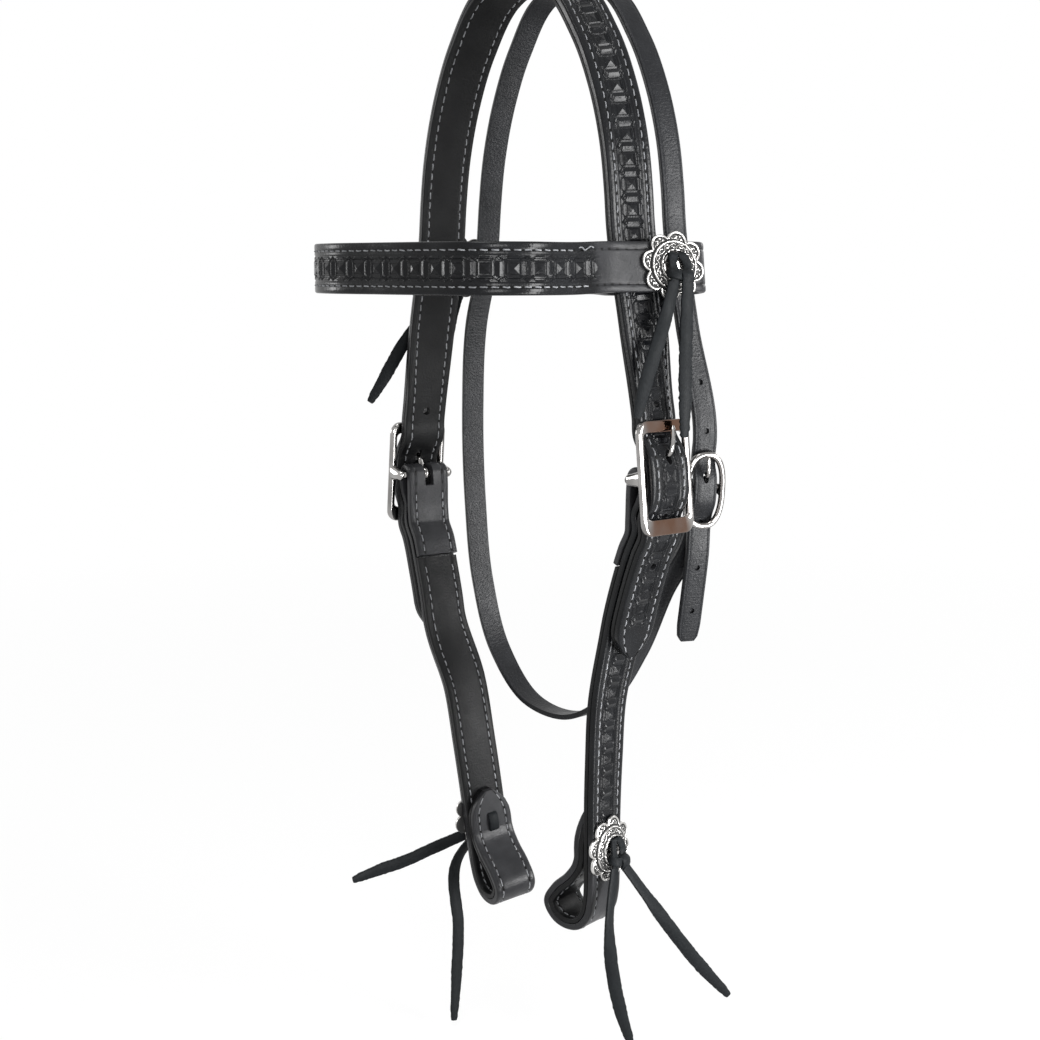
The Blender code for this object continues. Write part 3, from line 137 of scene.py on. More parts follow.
class Run:
    """A smooth path of places and width directions, measured along itself."""

    def __init__(self, rows, hand=1):
        self.hand = hand
        self.curve = smooth_curve(rows)
        steps = np.linalg.norm(np.diff(self.curve[:, :3], axis=0), axis=1)
        self.along = np.concatenate([[0.0], np.cumsum(steps)])
        self.length = float(self.along[-1])

    def point(self, mark):
        return np.stack([np.interp(mark, self.along, column) for column in self.curve.T], axis=-1)

    def frame(self, marks):
        """Place, width direction and outward normal at distances along the run."""
        marks = np.atleast_1d(np.array(marks, float))
        at = self.point(marks)
        ahead = self.point(np.minimum(marks + PROBE, self.length))[:, :3]
        behind = self.point(np.maximum(marks - PROBE, 0.0))[:, :3]
        heading = ahead - behind
        heading /= np.linalg.norm(heading, axis=1)[:, None]
        wide = self.hand * at[:, 3:]
        wide -= (wide * heading).sum(axis=1)[:, None] * heading
        wide /= np.linalg.norm(wide, axis=1)[:, None]
        return at[:, :3], wide, np.cross(wide, heading)

    def nearest(self, place):
        gaps = np.linalg.norm(self.curve[:, :3] - np.array(place)[:3], axis=1)
        return float(self.along[gaps.argmin()])

    def rows_beside(self, marks, amount):
        """Control points of a strap that lies this far under the run."""
        spot, _, out = self.frame(marks)
        return np.hstack([spot - out * amount, self.point(marks)[:, 3:]]).tolist()

    def matrix(self, mark, outward=0.0):
        """Local X across, Y along the run and Z out, at a distance along the run."""
        spot, wide, out = (found[0] for found in self.frame(mark))
        along = np.cross(out, wide)
        place = np.eye(4)
        for column, axis in enumerate((wide, along, out, spot + out * outward)):
            place[:3, column] = axis
        return Matrix(place.tolist())

    def marks(self, first, last, step, turn):
        """Distances between two others, closer together where the run bends."""
        heading = np.gradient(self.curve[:, :3], self.along, axis=0)
        heading /= np.linalg.norm(heading, axis=1)[:, None]
        turned = np.arccos(np.clip((heading[:-1] * heading[1:]).sum(axis=1), -1.0, 1.0))
        weight = np.diff(self.along) / step + turned / math.radians(turn)
        measure = np.concatenate([[0.0], np.cumsum(weight)])
        ends = np.interp([first, last], self.along, measure)
        count = max(2, math.ceil(ends[1] - ends[0]))
        return np.interp(np.linspace(*ends, count + 1), measure, self.along)


def facing(turn):
    """A level direction turned about +Z from +Y towards +X."""
    turn = math.radians(turn)
    return (math.sin(turn), math.cos(turn), 0.0)


print("a run knows its place, width and outward side at each distance")

# %% [markdown]
# ## Finishes
# Five finishes dress the headstall: the dyed grain leather of the straps, the plainer leather of
# the linings and edges, the limp string leather, polished stainless steel and engraved silver. Each
# is a node tree of noise and mixes, read in metres from the object, so it keeps its scale on every
# piece. A node helper that takes an operation and its inputs keeps these trees short to read.

# %% A small helper for node trees
class Tree:
    """Builds a material's nodes, one call each."""

    def __init__(self, name):
        self.material = bpy.data.materials.new(name)
        self.material.use_nodes = True
        self.nodes = self.material.node_tree.nodes
        self.links = self.material.node_tree.links
        self.shader = self.nodes["Principled BSDF"]
        self.place = self.nodes.new("ShaderNodeTexCoord").outputs["Object"]

    def feed(self, socket, value):
        if isinstance(value, bpy.types.NodeSocket):
            self.links.new(value, socket)
        else:
            socket.default_value = value

    def noise(self, scale, detail=3.0, roughness=0.55, at=None, stretch=None):
        node = self.nodes.new("ShaderNodeTexNoise")
        node.inputs["Scale"].default_value = scale
        node.inputs["Detail"].default_value = detail
        node.inputs["Roughness"].default_value = roughness
        at = at or self.place
        if stretch:
            mapping = self.nodes.new("ShaderNodeMapping")
            mapping.inputs["Scale"].default_value = stretch
            self.links.new(at, mapping.inputs["Vector"])
            at = mapping.outputs["Vector"]
        self.links.new(at, node.inputs["Vector"])
        return node.outputs["Fac"]

    def cells(self, scale, feature="F1", at=None):
        node = self.nodes.new("ShaderNodeTexVoronoi")
        node.feature = feature
        node.inputs["Scale"].default_value = scale
        self.links.new(at or self.place, node.inputs["Vector"])
        return node.outputs["Distance"]

    def math(self, operation, *values):
        node = self.nodes.new("ShaderNodeMath")
        node.operation = operation
        for socket, value in zip(node.inputs, values):
            self.feed(socket, value)
        return node.outputs[0]

    def spread(self, value, low, high, new_low=0.0, new_high=1.0):
        node = self.nodes.new("ShaderNodeMapRange")
        for socket, part in zip(node.inputs, (value, low, high, new_low, new_high)):
            self.feed(socket, part)
        return node.outputs[0]

    def blend(self, share, first, second):
        node = self.nodes.new("ShaderNodeMix")
        node.data_type = "RGBA"
        self.feed(node.inputs["Factor"], share)
        colours = [socket for socket in node.inputs if socket.type == "RGBA"]
        for socket, value in zip(colours, (first, second)):
            self.feed(socket, value if isinstance(value, bpy.types.NodeSocket) else (*value, 1.0))
        return [socket for socket in node.outputs if socket.type == "RGBA"][0]

    def bump(self, height, strength, distance, under=None):
        node = self.nodes.new("ShaderNodeBump")
        node.inputs["Strength"].default_value = strength
        node.inputs["Distance"].default_value = distance
        self.links.new(height, node.inputs["Height"])
        if under is not None:
            self.links.new(under, node.inputs["Normal"])
        return node.outputs["Normal"]

    def strap_place(self):
        """Distance along and across a strap, in metres."""
        node = self.nodes.new("ShaderNodeUVMap")
        node.uv_map = "strap"
        split = self.nodes.new("ShaderNodeSeparateXYZ")
        self.links.new(node.outputs["UV"], split.inputs["Vector"])
        return split.outputs["X"], split.outputs["Y"], node.outputs["UV"]

    def painted(self, name):
        """A number that the mesh carries at each point."""
        node = self.nodes.new("ShaderNodeAttribute")
        node.attribute_name = name
        return node.outputs["Fac"]

    def finish(self, **sockets):
        names = {"colour": "Base Color", "specular_ior_level": "Specular IOR Level"}
        for name, value in sockets.items():
            socket = self.shader.inputs[names.get(name, name.replace("_", " ").title())]
            if name == "colour" and not isinstance(value, bpy.types.NodeSocket):
                value = (*value, 1.0)
            self.feed(socket, value)
        return self.material


print("node helper ready")

# %% [markdown]
# ### Strap leather
# Bridle leather is drum dyed, waxed and rolled, so its face is nearly black with a soft sheen, a
# fine pebbled grain and faint wrinkles across the strap where it bends. The stamp and the seams
# are real relief in the mesh. Where a stamped strap runs plain, its colour is blended to a paler,
# mottled grey as a painted sheen, and the raised lines of the stamp are a little shinier.

# %% The leathers
STITCH_PITCH = 0.0052
SEAM_ACROSS = 0.0087
HALF_WIDTH = 0.0127


def strap_finish(name, colour, worn, painted_sheen_colour, roughness, grain, wrinkle, specular, stitched=True):
    tree = Tree(name)
    along, across, both = tree.strap_place()
    mottle = tree.noise(60.0, 4.0)
    shade = tree.blend(tree.spread(mottle, 0.35, 0.75), colour, worn)
    pores = tree.noise(1500.0, 3.0)
    pebble = tree.cells(900.0, "SMOOTH_F1")
    creases = tree.noise(1.0, 4.0, 0.6, both, (900.0, 160.0, 1.0))
    gloss = tree.spread(tree.noise(140.0, 5.0), 0.3, 0.7, roughness - 0.06, roughness + 0.08)
    bare = tree.math("SUBTRACT", 1.0, tree.painted("stamped"))
    # Painted sheen: where the face isn't stamped, the colour is blended to a paler, mottled grey that stands in for a
    # sheen.
    painted_sheen_share = tree.math("MULTIPLY", bare, tree.spread(mottle, 0.35, 0.6, 0.5, 1.0))
    gloss = tree.math("ADD", gloss, tree.math("MULTIPLY", bare, 0.11))
    gloss = tree.math("SUBTRACT", gloss, tree.math("MULTIPLY", tree.painted("raised"), 0.10))
    shade = tree.blend(painted_sheen_share, shade, painted_sheen_colour)
    normal = tree.bump(pebble, grain, 0.00025)
    normal = tree.bump(pores, grain * 0.8, 0.00012, normal)
    normal = tree.bump(creases, wrinkle, 0.00030, normal)
    if stitched:
        step = tree.math("FRACT", tree.math("DIVIDE", along, STITCH_PITCH))
        near_hole = tree.math("ABSOLUTE", tree.math("SUBTRACT", step, 0.5))
        away = tree.math("MULTIPLY", near_hole, STITCH_PITCH)
        aside = tree.math("ABSOLUTE", tree.math("SUBTRACT", tree.math("ABSOLUTE", across), SEAM_ACROSS))
        reach = tree.math("MAXIMUM", tree.math("MULTIPLY", away, 0.8), aside)
        # Painted shade: a near-black spot at each needle hole stands in for the shadow inside a hole that the mesh
        # doesn't cut.
        hole = tree.spread(reach, 0.0005, 0.0008, 1.0, 0.0)
        shade = tree.blend(hole, shade, (0.0015, 0.0015, 0.0015))
    return tree.finish(colour=shade, roughness=gloss, normal=normal, specular_ior_level=specular)


# The fourth colour of each leather is its painted sheen, shown where a stamped strap runs plain.
tooled_leather = strap_finish(
    "tooled_leather", (0.0032, 0.0034, 0.0040), (0.0064, 0.0069, 0.0080), (0.0200, 0.0203, 0.0220), 0.25, 0.22, 0.12, 0.17
)
plain_leather = strap_finish(
    "plain_leather", (0.0055, 0.0059, 0.0070), (0.0105, 0.0112, 0.0130), (0.0110, 0.0117, 0.0135), 0.38, 0.50, 0.50, 0.20, False
)
lining_leather = strap_finish(
    "lining_leather", (0.0030, 0.0031, 0.0034), (0.0062, 0.0064, 0.0068), (0.0062, 0.0064, 0.0068), 0.43, 0.35, 0.30, 0.15
)
print("three strap leathers")

# %% String leather, with a slight nap
def string_finish():
    tree = Tree("string_leather")
    fibre = tree.noise(700.0, 5.0, 0.7)
    shade = tree.blend(tree.spread(fibre, 0.3, 0.7), (0.0034, 0.0041, 0.0048), (0.0078, 0.0091, 0.0102))
    gloss = tree.spread(tree.noise(90.0), 0.3, 0.7, 0.50, 0.62)
    normal = tree.bump(fibre, 0.35, 0.0002)
    return tree.finish(colour=shade, roughness=gloss, normal=normal, specular_ior_level=0.10)


string_leather = string_finish()
print("string leather")

# %% Waxed linen thread
def thread_finish():
    tree = Tree("waxed_thread")
    twist = tree.noise(2600.0, 2.0)
    shade = tree.blend(tree.spread(tree.noise(300.0), 0.3, 0.7), (0.075, 0.077, 0.082), (0.215, 0.220, 0.230))
    normal = tree.bump(twist, 0.6, 0.0002)
    return tree.finish(colour=shade, roughness=0.62, normal=normal, specular_ior_level=0.3)


waxed_thread = thread_finish()
print("thread")

# %% [markdown]
# ### Metals
# The buckles are cast stainless steel, polished, with a few fine scratches that follow the bars.
# The fronts of the flat top and foot bars are painted brown as a painted reflection, and the inner
# side of each frame takes a little of the same tint as painted shade.
# The conchos are antiqued silver: the maker floods them with dark paste and wipes it off the high
# places, so the colour follows the depth of the engraving, which the mesh carries as a number.

# %% The metals
def steel_finish():
    tree = Tree("buckle_steel")
    brushed = tree.noise(420.0, 4.0, 0.6, None, (1.0, 1.0, 0.08))
    worn = tree.noise(55.0, 3.0)
    shade = tree.blend(tree.spread(worn, 0.35, 0.7), (0.24, 0.233, 0.227), (0.42, 0.409, 0.398))
    # Painted reflection and shade: the mesh's number tints the flat bars' fronts brown and the frame's inner side a
    # little.
    painted_reflection_share = tree.math("MULTIPLY", tree.painted("warmth"), tree.spread(worn, 0.25, 0.6, 0.65, 1.0))
    shade = tree.blend(painted_reflection_share, shade, (0.150, 0.088, 0.062))
    gloss = tree.spread(brushed, 0.3, 0.7, 0.05, 0.12)
    normal = tree.bump(brushed, 0.10, 0.0001)
    return tree.finish(colour=shade, roughness=gloss, normal=normal, metallic=1.0)


def silver_finish():
    tree = Tree("engraved_silver")
    depth = tree.painted("recess")
    grime = tree.math("MULTIPLY", tree.noise(260.0, 4.0), 0.35)
    dark = tree.spread(tree.math("ADD", depth, tree.math("SUBTRACT", grime, 0.13)), 0.17, 0.50)
    shade = tree.blend(dark, (0.57, 0.56, 0.545), (0.010, 0.010, 0.010))
    gloss = tree.spread(dark, 0.0, 1.0, 0.22, 0.60)
    metal = tree.spread(dark, 0.0, 1.0, 1.0, 0.15)
    normal = tree.bump(tree.noise(900.0, 3.0), 0.08, 0.0001)
    return tree.finish(colour=shade, roughness=gloss, metallic=metal, normal=normal)


buckle_steel = steel_finish()
engraved_silver = silver_finish()
print("steel and silver")

# %% [markdown]
# ## The free ends of the strings
# Each concho is tied on with a leather string whose two ends hang free. They come first. Each is
# a flat lace cut from sheet leather, so a lace is a rounded ribbon with slightly ragged edges,
# wider in its middle and cut to a blunt point. The routes are the packed model's own, from each
# knot to the tip.

# %% The routes of the tails
TAIL_WIDTH = 0.0074
TAIL_LEATHER = 0.0020
tail_twists = {"near_bit_tail_front": (0.50, 0.866, 0.0), "near_bit_tail_rear": (0.42, 0.908, 0.0)}
tail_shares = ((0.0, 0.86), (0.25, 1.0), (0.75, 1.0), (0.94, 0.74), (1.0, 0.50))
tail_routes = {
    "near_brow_tail_front": (
        (0.3799, 0.9250, 0.0000),
        (
            (0.09170, 0.00579, -0.15169),
            (0.0895, 0.0037, -0.1650),
            (0.0900, -0.0050, -0.1826),
            (0.0905, -0.0161, -0.2044),
            (0.0915, -0.0225, -0.2180),
        ),
    ),
    "near_brow_tail_rear": (
        (0.3799, 0.9250, 0.0000),
        (
            (0.09617, 0.01096, -0.15138),
            (0.0955, 0.0115, -0.1680),
            (0.0970, 0.0090, -0.1880),
            (0.0985, 0.0073, -0.2110),
            (0.0992, 0.0060, -0.2290),
        ),
    ),
    "far_brow_tail_front": (
        (-0.4679, -0.8838, 0.0000),
        (
            (-0.07853, 0.01960, -0.15349),
            (-0.0840, 0.0100, -0.1660),
            (-0.0920, -0.0060, -0.1860),
            (-0.0950, -0.0210, -0.2078),
            (-0.0960, -0.0301, -0.2196),
        ),
    ),
    "far_brow_tail_rear": (
        (-0.4679, -0.8838, 0.0000),
        (
            (-0.07743, 0.02635, -0.15322),
            (-0.0800, 0.0225, -0.1640),
            (-0.0840, 0.0205, -0.1820),
            (-0.0870, 0.0180, -0.2060),
        ),
    ),
    "near_bit_tail_rear": (
        (-0.0698, 0.9976, 0.0000),
        (
            (0.06509, 0.00416, -0.46210),
            (0.0720, 0.0145, -0.4800),
            (0.0760, 0.0284, -0.4995),
            (0.0820, 0.0501, -0.5277),
            (0.0880, 0.0690, -0.5497),
        ),
    ),
    "near_bit_tail_front": (
        (-0.0698, 0.9976, 0.0000),
        (
            (0.06335, -0.00245, -0.46210),
            (0.0670, -0.0110, -0.4920),
            (0.0660, -0.0080, -0.5111),
            (0.0660, -0.0009, -0.5390),
            (0.0660, 0.0095, -0.5650),
        ),
    ),
    "far_bit_tail_front": (
        (-0.0430, -0.1324, 0.9903),
        (
            (-0.06411, 0.01990, -0.47674),
            (-0.0780, -0.0030, -0.4860),
            (-0.0820, -0.0180, -0.4895),
            (-0.0870, -0.0361, -0.4920),
            (-0.0920, -0.0518, -0.4951),
        ),
    ),
    "far_bit_tail_rear": (
        (-0.3060, -0.9418, -0.1392),
        (
            (-0.06421, 0.02669, -0.47584),
            (-0.0760, 0.0170, -0.4980),
            (-0.0740, 0.0160, -0.5402),
            (-0.0730, 0.0130, -0.5712),
            (-0.0720, 0.0098, -0.5959),
        ),
    ),
}

# %% A ribbon of leather with rounded edges
def ribbon_mesh(name, run, marks, half_widths, thick, edge_points=4, round_share=0.8, ragged=0.0):
    """A closed strip along a run, its section a rounded bar."""
    spot, wide, out = run.frame(marks)
    half_widths = np.array(half_widths)
    reach = thick / 2 * round_share
    angles = np.linspace(-math.pi / 2, math.pi / 2, edge_points)
    section = []
    for side in (1, -1):
        for angle in angles:
            section.append((side, side * math.sin(angle), math.cos(angle)))
    draws = np.random.default_rng(11)
    rough = draws.normal(0.0, ragged, (len(marks), 2)) if ragged else np.zeros((len(marks), 2))
    count = len(section)
    places = np.zeros((len(marks), count, 3))
    for k, (side, rise, bulge) in enumerate(section):
        half = half_widths + rough[:, 0 if side > 0 else 1]
        across = side * (half - reach + reach * bulge)
        lift = rise * thick / 2
        places[:, k] = spot + wide * across[:, None] + out * lift
    rings = np.arange(len(marks) * count).reshape(len(marks), count)
    following = np.roll(rings, -1, axis=1)
    quads = np.stack([rings[:-1], rings[1:], following[1:], following[:-1]], axis=-1).reshape(-1, 4)
    faces = quads.tolist() + [rings[0].tolist(), rings[-1][::-1].tolist()]
    mesh = bpy.data.meshes.new(name)
    mesh.from_pydata(places.reshape(-1, 3).tolist(), [], faces)
    return settle(mesh)


def settle(mesh, angle=50.0):
    """Outward faces, smooth but for the corners."""
    bm = bmesh.new()
    bm.from_mesh(mesh)
    bmesh.ops.recalc_face_normals(bm, faces=bm.faces)
    bm.to_mesh(mesh)
    bm.free()
    mesh.shade_smooth()
    mesh.set_sharp_from_angle(angle=math.radians(angle))
    return mesh


def joined(name, meshes):
    """Several meshes as one."""
    bm = bmesh.new()
    for mesh in meshes:
        bm.from_mesh(mesh)
        bpy.data.meshes.remove(mesh)
    made = bpy.data.meshes.new(name)
    bm.to_mesh(made)
    bm.free()
    return settle(made)


def piece(name, mesh, body, finish, slot, *nodes):
    """A named object on its body, with its finish, in place of the nodes it stands for."""
    made = bpy.data.objects.new(name, mesh)
    bpy.context.scene.collection.objects.link(made)
    mesh.materials.clear()
    mesh.materials.append(finish)
    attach(made, body)
    if nodes:
        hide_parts(*nodes)
    return made


# %% Hang the eight tails
members = frame["record"]["behaviour"]["bodies"]
body_of = {node: body for body, nodes in members.items() for node in nodes}
for name, (width_way, route) in tail_routes.items():
    turned_way = tail_twists.get(name, width_way)
    run = Run([(*spot, *(turned_way if place > 1 else width_way)) for place, spot in enumerate(route)])
    marks = np.linspace(0.0, run.length, 60)
    table = np.array(tail_shares)
    half = TAIL_WIDTH / 2 * np.interp(marks / run.length, table[:, 0], table[:, 1])
    ragged = 0.00022 if name == "near_brow_tail_rear" else 0.00009
    mesh = ribbon_mesh(name + "_lace", run, marks, half, TAIL_LEATHER, ragged=ragged)
    lace = piece(name + "_lace", mesh, body_of[name], string_leather, "string_leather", name)
    path = [[float(value) for value in spot] for spot in run.frame(np.linspace(0.0, run.length, 30))[0]]
    print(name, round(run.length * 1000, 1), "mm")

# %% [markdown]
# ## The seats of the straps
# Every strap hangs from a few seats: the two buckles, the two bit ends, the browband's loops on the
# crown strap, and the throat latch's buckle. A seat has an origin and three directions, across the
# strap, up along it and out of its outer face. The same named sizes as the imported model's are
# written here, so each piece of leather lands exactly where its solid is.

# %% Sizes of the headstall
HALF_SPREAD = 0.0840
BROW_DROP = 0.1450
BROW_DEPTH = 0.1000
BROW_HALF_WIDTH = 0.0700
CHEEK_DROP = 0.2030
THROAT_DROP = 0.3960
THROAT_BACK = 0.0310
STRAP_WIDTH = 2 * HALF_WIDTH
OUTER = 0.0036
LINING = 0.0026
SEAM = 0.0003
CLEAR = 0.0004
THROAT_WIDTH = 0.0127
THROAT_LEATHER = 0.0030
STRAP_GAP = 0.0075
BAR_RADIUS = 0.0022
BAR_FIT = 0.0003
BUCKLE_HALF_HEIGHT = 0.0290
BUCKLE_LIFT = 0.0072
BUCKLE_THICK = 0.0038
OVAL_HALF_HEIGHT = 0.0205
OVAL_LIFT = 0.0050
OVAL_THICK = 0.0032
OVAL_BAR_RADIUS = 0.0016
OVAL_CLEAR = 0.0008
THROAT_BILLET_BELOW = 0.0850
THROAT_FLAP = 0.0480
FLAP_LENGTH = 0.0500
BIT_LOOP_DROP = 0.0430
BIT_LOOP_REACH = 0.0270
BIT_TIP_RISE = 0.0190
FOLD_GAP = 0.0012
LOOP_ROOM = 0.0009
LOOP_END_ROOM = 0.0042
APEX_FLAT = 0.0060
TIP_LENGTH = 0.0170
THROAT_TIP = 0.0090
BILLET_PITCH = 0.0290
THROAT_PITCH = 0.0250

SHEET = OUTER + SEAM + LINING
SEAM_TO_FACE = SEAM / 2 + OUTER
BAR_SEAM = BAR_RADIUS + BAR_FIT - SEAM / 2
BILLET_BULGE = BAR_SEAM + SHEET + FOLD_GAP
BILLET_RAIL = BUCKLE_LIFT - CLEAR - SEAM_TO_FACE
OVAL_FOLD = OVAL_BAR_RADIUS + BAR_FIT + THROAT_LEATHER / 2
OVAL_BULGE = OVAL_FOLD + THROAT_LEATHER + OVAL_CLEAR
OVAL_RAIL_LEVEL = OVAL_LIFT - CLEAR - THROAT_LEATHER / 2
INNER_LEG = 2 * LINING + SEAM + CLEAR
POLL_SEAM = LINING + SEAM / 2
THROAT_SET = STRAP_WIDTH / 2 + STRAP_GAP + THROAT_WIDTH / 2
LOOP_OUT = SEAM_TO_FACE + LOOP_ROOM + OUTER / 2
LOOP_IN = SEAM / 2 + LINING + LOOP_ROOM + OUTER / 2
LOOP_END = THROAT_SET + THROAT_WIDTH / 2 + LOOP_END_ROOM
print("sewn sheet", round(SHEET * 1000, 2), "mm thick")

# %% Seats
class Seat:
    """A place on the headstall: across the strap, up along it, and out of its outer face."""

    def __init__(self, origin, side, turn, lean=0.0, sway=0.0):
        self.degrees = turn
        turn, lean, sway = (math.radians(value) for value in (turn, lean, sway))
        self.origin = np.array(origin, float)
        flat_out = side * np.array((math.cos(turn), -math.sin(turn), 0.0))
        rise = np.array((0.0, 0.0, 1.0))
        level = np.array(facing(self.degrees))
        upright = math.cos(lean) * rise - math.sin(lean) * flat_out
        self.wide = math.cos(sway) * level + math.sin(sway) * upright
        self.up = math.cos(sway) * upright - math.sin(sway) * level
        self.out = math.cos(lean) * flat_out + math.sin(lean) * rise

    def at(self, across, along, outward):
        return self.origin + across * self.wide + along * self.up + outward * self.out

    def row(self, across, along, outward):
        return (*self.at(across, along, outward), *self.wide)

    def standing(self, across, outward):
        """A control point of a band that lies across the seat."""
        return (*self.at(across, 0.0, outward), *self.up)

    def matrix(self, across=0.0, outward=0.0):
        """Local X across, Y up and Z out, right-handed on either side."""
        wide = np.cross(self.up, self.out)
        place = np.eye(4)
        spot = self.origin + across * wide + outward * self.out
        for column, axis in enumerate((wide, self.up, self.out, spot)):
            place[:3, column] = axis
        return Matrix(place.tolist())


class Half:
    """One side of the headstall, near or far."""

    def __init__(self, name, side, drop, billet, turn, buckle_turn, bit_turn, bit_out, bit_back, bit_sway):
        self.name = name
        self.side = side
        self.drop = drop
        self.billet = billet
        self.turn = turn
        self.buckle = Seat((side * HALF_SPREAD, 0.0, -drop), side, buckle_turn, 6.0)
        self.bit = Seat((side * bit_out, bit_back, -drop - CHEEK_DROP), side, bit_turn, 0.0, bit_sway)

    def arch_seats(self):
        return [
            Seat((self.side * out * HALF_SPREAD, 0.0, POLL_SEAM - down * self.drop), self.side, self.turn)
            for out, down in crown_arch_shares
        ]

    def set_brow(self, run):
        mark = run.nearest((self.side * HALF_SPREAD * 0.85, 0.0, -BROW_DROP))
        spot, wide, out = (found[0] for found in run.frame(mark))
        lean = math.degrees(math.asin(out[2])) * 0.8
        self.brow = Seat(spot, self.side, math.degrees(math.atan2(wide[0], wide[1])), lean)


near = Half("near", 1, 0.2500, 0.0930, 22.0, 8.0, -4.0, 0.0520, 0.0, 0.0)
far = Half("far", -1, 0.2620, 0.0870, 28.0, 14.0, 18.0, 0.0530, 0.0180, 8.0)
halves = (near, far)
oval = Seat((0.0905, THROAT_BACK, -0.2575), 1, 30.0, -6.0)
print("five seats")

# %% [markdown]
# ## The runs of the straps
# The crown strap is one run from billet tip to billet tip. Each cheekpiece starts at its pointed
# inner end, turns round the bit loop, climbs to the buckle, folds over the centre bar and ends in
# a flap. The browband folds into a loop at each end. The throat latch crosses the poll beside the
# crown strap, hangs round the throat and comes back to its own buckle.

# %% Outlines in shares of the sizes
crown_arch_shares = (
    (0.280, 0.024),
    (0.514, 0.120),
    (0.657, 0.224),
    (0.746, 0.332),
    (0.787, 0.430),
    (0.806, 0.504),
    (0.910, 0.700),
)
bit_loop_shares = (
    (-0.27, -0.24),
    (-0.46, -0.41),
    (-0.80, -0.61),
    (-0.97, -0.80),
    (-0.78, -0.955),
    (-0.54, -1.0),
    (-0.30, -0.975),
    (-0.10, -0.84),
    (-0.02, -0.64),
    (0.00, -0.42),
    (0.00, -0.20),
)
cheek_run_shares = ((0.10, 0.600), (0.03, 0.760), (0.00, 0.900))
leg_shares = (0.09, 0.16, 0.23, 0.31, 0.40, 0.50, 0.60, 0.70, 0.80, 0.90, 1.0)
flap_shares = (0.46, 0.60, 0.80, 1.0)
loop_end_shares = (0.95, 0.60)
brow_run_shares = (
    (0.99, 0.46),
    (0.94, 0.74),
    (0.70, 0.94),
    (0.30, 0.99),
    (-0.20, 1.00),
    (-0.66, 0.99),
    (-1.02, 0.87),
    (-1.20, 0.62),
    (-1.20, 0.36),
)
throat_run_shares = (
    (-0.673, 0.760, 0.366),
    (-0.780, 0.800, 0.445),
    (-0.865, 0.930, 0.565),
    (-0.870, 1.000, 0.707),
    (-0.80, 1.00, 0.825),
    (-0.63, 1.00, 0.925),
    (-0.33, 1.00, 0.990),
    (0.02, 1.00, 1.000),
    (0.33, 1.00, 0.968),
    (0.60, 1.00, 0.890),
    (0.80, 1.00, 0.800),
)
billet_bulge_shares = (
    (1.38, -0.12),
    (1.04, 0.0),
    (0.78, -0.03),
    (0.34, 0.86),
    (0.0, 1.0),
    (-0.34, 0.86),
    (-0.71, -0.05),
    (-0.99, -0.08),
)
billet_hang_shares = ((-0.41, 0.070), (-0.62, 0.180), (-0.82, 0.268), (-1.0, 0.330))
oval_bulge_shares = ((1.30, 0.10), (0.66, 0.0), (0.30, 0.86), (0.0, 1.0), (-0.30, 0.86), (-0.68, 0.0))
oval_hang_shares = ((-0.42, 0.010), (-0.72, 0.050), (-1.0, 0.095))
print("outlines set")

# %% The crown strap's run
def billet_rows(seat, half_height, bulge, rail, below, bulge_shares, hang_shares):
    """From above a buckle, through it, to a billet's hanging end."""
    rows = [seat.row(0.0, along * half_height, rail + lift * (bulge - rail)) for along, lift in bulge_shares]
    rows += [seat.row(0.0, along * below, rail - inward * below) for along, inward in hang_shares]
    return rows


def crown_billet(half):
    return billet_rows(
        half.buckle,
        BUCKLE_HALF_HEIGHT,
        BILLET_BULGE,
        BILLET_RAIL,
        half.billet,
        billet_bulge_shares,
        billet_hang_shares,
    )


over_poll = facing((near.turn + far.turn) / 2)
apex_rows = [(side * APEX_FLAT, 0.0, POLL_SEAM, *over_poll) for side in (1, -1)]
near_arch = [seat.row(0.0, 0.0, 0.0) for seat in near.arch_seats()]
far_arch = [seat.row(0.0, 0.0, 0.0) for seat in far.arch_seats()]
crown_run = Run(crown_billet(near)[::-1] + near_arch[::-1] + apex_rows + far_arch + crown_billet(far))
for half in halves:
    half.set_brow(crown_run)
print("crown strap", round(crown_run.length * 1000), "mm")

# %% The cheekpieces' runs
def fold_rows(seat, radius, steps=6):
    """Round the top of a centre bar, from its outer side to its inner side."""
    found = []
    for step in range(steps + 1):
        angle = math.pi * step / steps
        found.append(seat.row(0.0, radius * math.sin(angle), radius * math.cos(angle)))
    return found


